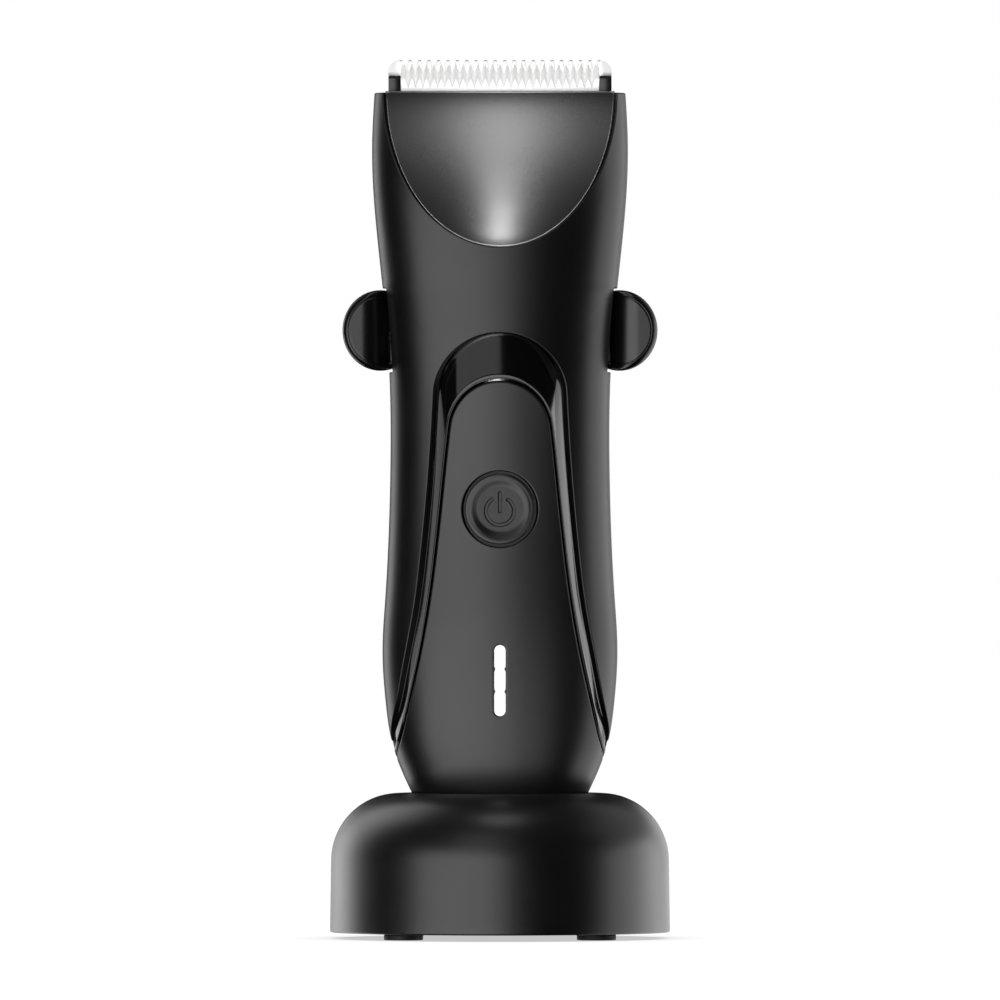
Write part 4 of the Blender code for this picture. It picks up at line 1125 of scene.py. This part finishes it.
# Moulded and pressed pieces whose CAD shape is right and only wants eased edges.
EASED = {"bottom_cap": 0.25, "chassis": 0.3, "upper_deck": 0.25, "drive_yoke": 0.25, "eccentric_cam": 0.2,
         "dock_cradle": 0.2, "dock_base_plate": 0.35, "battery_cell": 0.35, "motor": 0.35,
         "tact_switch": 0.15, "button_membrane": 0.15, "shaft_seal": 0.15, "main_pcb": 0.12,
         "dock_pcb": 0.12, "led_strip": 0.1, "dock_weight": 0.4, "usb_socket": 0.1, "motor_shaft": 0.1,
         "pin_barrel_left": 0.08, "pin_barrel_right": 0.08}
for name, width in EASED.items():
    add(eased(name, width), BODY_OF[name], SLOT_OF[name], name)


def screw(name, place, axis, head, shank, steps=48):
    """A round-headed screw with a six-lobed socket and rolled threads.

    head is (radius, top, underside) and shank (radius, end), heights along the axis.
    """
    wide, top, under = head
    thin, end = shank
    way = 1 if top > under else -1
    turns = circle_turns(steps)
    lobes = 1 + 0.16 * np.cos(6 * turns)
    socket, deep = 0.45 * wide, 0.55 * abs(top - under)
    hollow = ((0.02, deep), (0.9 * socket, deep), (socket, deep * 0.9), (socket, 0.06), (1.06 * socket, 0.0))
    shapes = [(lobes * r, top - way * d) for r, d in hollow]
    plain = np.ones(steps)
    ease = 0.3 * abs(top - under)
    for t in np.linspace(0, math.pi / 2, 5):
        shapes.append((plain * (wide - ease + ease * math.sin(t)), top - way * ease * (1 - math.cos(t))))
    shapes += [(plain * wide, under), (plain * thin, under)]
    pitch = 0.5
    count = int((abs(end - under) - 0.8) / pitch)
    for i in range(count):
        at = under - way * (0.3 + pitch * i)
        shapes += [(plain * thin * r, at - way * d) for r, d in ((0.84, 0.0), (1.0, 0.2), (1.0, 0.26))]
    shapes += [(plain * thin * 0.8, end + way * 0.35), (plain * thin * 0.3, end), (plain * 0.01, end)]
    return mesh_object(name, *rings_mesh(turned_rings(shapes, place, axis, steps)), smooth_angle=35)


# the round-ended charging pins and the contacts that they touch, as (radius, height)
PIN_X = 4.0
PIN = [(0.7, 10.6), (0.85, 10.75),
       *[(0.85 * math.cos(t), 17.2 + 0.5 * math.sin(t)) for t in np.linspace(0, math.pi / 2, 8)[:-1]],
       (0.0, 17.7)]
CONTACT = [(0.0, 18.12), (0.5, 18.08), (0.9, 18.0), (1.1, 18.0), (1.24, 18.06), (1.3, 18.2),
           (1.3, 20.85), (1.15, 21.0), (0.0, 21.0)]

for i, (x, y) in enumerate(POSTS, 1):
    add(screw(f"plate_screw_{i}", (x, y, 0), "Z", (2.2, 1.5, 2.9), (1.0, 10.0)), "dock", "steel",
        f"base_screw_{i}")
for i, (x, z) in enumerate([(side * 11.7, z) for z in (44.0, 92.0) for side in (-1, 1)], 1):
    add(screw(f"circuit_screw_{i}", (x, 0, z), "-Y", (1.6, 9.0, 8.5), (0.7, 3.5)), "handle", "steel",
        f"board_screw_{i}")
for side, word in ((-1, "left"), (1, "right")):
    add(screw(f"blade_screw_{word}", (side * SCREW_X, 0, SCREW_Z), "-Y", (2.0, -4.4, -3.4), (1.1, 0.1)),
        "head", "steel", f"comb_screw_{word}")
    add(lathe(f"sprung_pin_{word}", PIN, (side * PIN_X, 0, 0), steps=48), f"dock_pin_{word}",
        "gold_contact", f"dock_pin_{word}")
    add(lathe(f"foot_contact_{word}", CONTACT, (side * PIN_X, 0, 0), steps=48), "handle", "gold_contact",
        f"charge_contact_{word}")

# the socket's tongue, with its row of contact pads
tongue = boxed("socket_tongue", (-3.2, 27.2, USB_Z - 0.35), (3.2, 32.2, USB_Z + 0.35), 0.12)
add(tongue, "dock", "inner_plastic")
PADS, PAD_PITCH, PAD_HALF = 8, 0.72, 0.18
for i in range(PADS):
    x = (i - (PADS - 1) / 2) * PAD_PITCH
    low, high = (x - PAD_HALF, 28.4, USB_Z + 0.3), (x + PAD_HALF, 31.9, USB_Z + 0.42)
    add(boxed(f"socket_pad_{i + 1}", low, high, 0.04, 2), "dock", "gold_contact")


# ---------------- the rest of the CAD nodes
for name, cad in frame["nodes"].items():
    if not cad.hide_render:
        cad.data.materials.clear()
        cad.data.materials.append(MATERIALS[SLOT_OF[name]])


# ---------------- floor, light and camera
def area_light(name, azimuth, elevation, distance, size, radiance, target):
    """A soft box that looks at a target from an azimuth and an elevation, in degrees."""
    a, e = math.radians(azimuth), math.radians(elevation)
    back = Vector((math.sin(a) * math.cos(e), -math.cos(a) * math.cos(e), math.sin(e)))
    data = bpy.data.lights.new(name, "AREA")
    data.shape = "RECTANGLE"
    data.size, data.size_y = size
    data.energy = radiance * math.pi * size[0] * size[1]
    made = bpy.data.objects.new(name, data)
    bpy.context.scene.collection.objects.link(made)
    made.location = Vector(target) + back * distance
    made.rotation_mode = "QUATERNION"
    made.rotation_quaternion = back.to_track_quat("Z", "Y")
    made.visible_camera = False
    return made


def box_light(name, azimuths, elevations, radiance, distance, target):
    """A soft box that spans a range of azimuths and elevations, as seen from the object."""
    halves = [math.radians(last - first) / 2 for first, last in (azimuths, elevations)]
    size = [2 * distance * math.tan(half) for half in halves]
    return area_light(name, sum(azimuths) / 2, sum(elevations) / 2, distance, size, radiance, target)


def linked(light, part, state, *names):
    """Makes a light take in some pieces only (INCLUDE), or pass over them (EXCLUDE).

    part is receiver for what it falls on, or blocker for what shades it.
    """
    group = bpy.data.collections.new(f"{light.name}_{part}")
    for name in names:
        group.objects.link(bpy.data.objects[name])
    setattr(light.light_linking, f"{part}_collection", group)
    for row in group.collection_objects:
        row.light_linking.link_state = state


BLADES = ("comb_plate", "cutter_plate")
HEAD, BLADE, WHOLE = (0, -0.012, 0.15), (0, 0, 0.172), (0, 0, 0.09)

# lights for everything but the blades: azimuths, elevations, radiance, other pieces they pass over
SOFT_BOXES = {
    "key": ((-60, 3), (-35, 15), 3.0, ("head_front",)),
    "key_upper": ((-30, 0), (15, 50), 0.9, ("head_front", "bevelled_band")),
    "right": ((75, 140), (-45, 15), 2.1, ()),
    "right_upper": ((90, 150), (15, 50), 0.55, ()),
    "right_rear": ((140, 172), (-45, 15), 0.7, ()),
    "left_rim": ((-150, -120), (-45, 15), 1.9, ()),
    "left_rim_upper": ((-150, -120), (15, 50), 0.85, ()),
}
for name, (azimuths, elevations, radiance, shunned) in SOFT_BOXES.items():
    box = box_light(name, azimuths, elevations, radiance, 1.5, WHOLE)
    linked(box, "receiver", "EXCLUDE", *BLADES, *shunned)
overhead = area_light("overhead", 0, 90, 0.33, (0.10, 0.14), 3.6, (0, -0.12, 0.09))
linked(overhead, "receiver", "EXCLUDE", "head_front", "control_panel", "bevelled_band", *BLADES)

# lights for a few pieces each: azimuths, elevations, radiance, distance, target, pieces
FILLS = {
    "fan_low": ((-5, 4), (20, 40), 20.0, 1.0, HEAD, ("head_front",)),
    "fan_middle": ((-6, 4), (40, 60), 25.0, 1.0, HEAD, ("head_front",)),
    "fan_high": ((-6, 5), (60, 85), 24.0, 1.0, HEAD, ("head_front",)),
    "blade_front": ((-12, 8), (-22, 4), 22.0, 0.25, BLADE, BLADES),
    "blade_rear": ((150, 210), (0, 40), 3.0, 0.5, BLADE, BLADES),
    "panel_fill": ((3, 31), (-50, 0), 1.1, 1.5, WHOLE, ("control_panel", "power_cap")),
    "band_left": ((-125, -102), (-45, 15), 0.9, 1.5, WHOLE, ("bevelled_band",)),
    "band_right": ((80, 130), (-45, 15), 2.4, 1.5, WHOLE, ("bevelled_band",)),
    "band_top": ((-58, -2), (12, 40), 1.0, 1.5, WHOLE, ("bevelled_band",)),
    "dock_left": ((-170, -110), (-45, 15), 1.2, 1.5, WHOLE, ("dock_dome",)),
    "dock_right": ((110, 170), (-45, 15), 1.0, 1.5, WHOLE, ("dock_dome",)),
    "dock_shoulder": ((-150, -110), (15, 60), 1.1, 1.5, WHOLE, ("dock_dome",)),
}
for name, (azimuths, elevations, radiance, distance, target, pieces) in FILLS.items():
    box = box_light(name, azimuths, elevations, radiance, distance, target)
    linked(box, "receiver", "INCLUDE", *pieces)
    if name.startswith("band"):
        linked(box, "blocker", "EXCLUDE", "housing_front")


def floor_material():
    """A pale, even floor that darkens a little where the dock shades it."""
    made, tree, shader = blank("pale_floor")
    shade = node(tree, "ShaderNodeAmbientOcclusion", {"Distance": 0.03}, samples=8).outputs["AO"]
    cloud = ramp(tree, noise(tree, 60.0), 0.99, 1.0)
    glow = sums(tree, "MULTIPLY", ramp(tree, shade, 0.55, 1.03, 0.0, 0.9), cloud)
    fill(tree, shader, {"Emission Strength": glow, "Emission Color": (1, 1, 1, 1), "Roughness": 0.9,
                        "Base Color": (0.1, 0.1, 0.1, 1), "Specular IOR Level": 0.0})
    return made


bpy.ops.mesh.primitive_circle_add(vertices=128, radius=3.0, fill_type="NGON", location=(0, 0, -0.00005))
floor = bpy.context.object
floor.name = "floor"
floor.data.materials.append(floor_material())
floor.visible_glossy = False
floor.visible_diffuse = False

world = bpy.data.worlds.new("studio")
bpy.context.scene.world = world
world.use_nodes = True
sky = world.node_tree
sky.nodes.clear()
seen = node(sky, "ShaderNodeLightPath").outputs["Is Camera Ray"]
level = ramp(sky, seen, 0.006, 1.0, 0.0, 1.0)
background = node(sky, "ShaderNodeBackground", {"Color": (1, 1, 1, 1), "Strength": level})
node(sky, "ShaderNodeOutputWorld", {"Surface": background.outputs["Background"]})

FRAME_HEIGHT = 0.2  # what the picture spans at the object
CAMERA_DISTANCE = 4.0
camera = bpy.data.objects.new("camera", bpy.data.cameras.new("camera"))
bpy.context.scene.collection.objects.link(camera)
SENSOR = 36
camera.data.sensor_width = SENSOR
camera.data.lens = SENSOR * CAMERA_DISTANCE / FRAME_HEIGHT
camera.data.clip_end = 20
camera.location = (0, -CAMERA_DISTANCE, 0.0876)
camera.rotation_euler = (math.pi / 2, 0, 0)
bpy.context.scene.camera = camera
bpy.context.scene.view_settings.view_transform = "Standard"
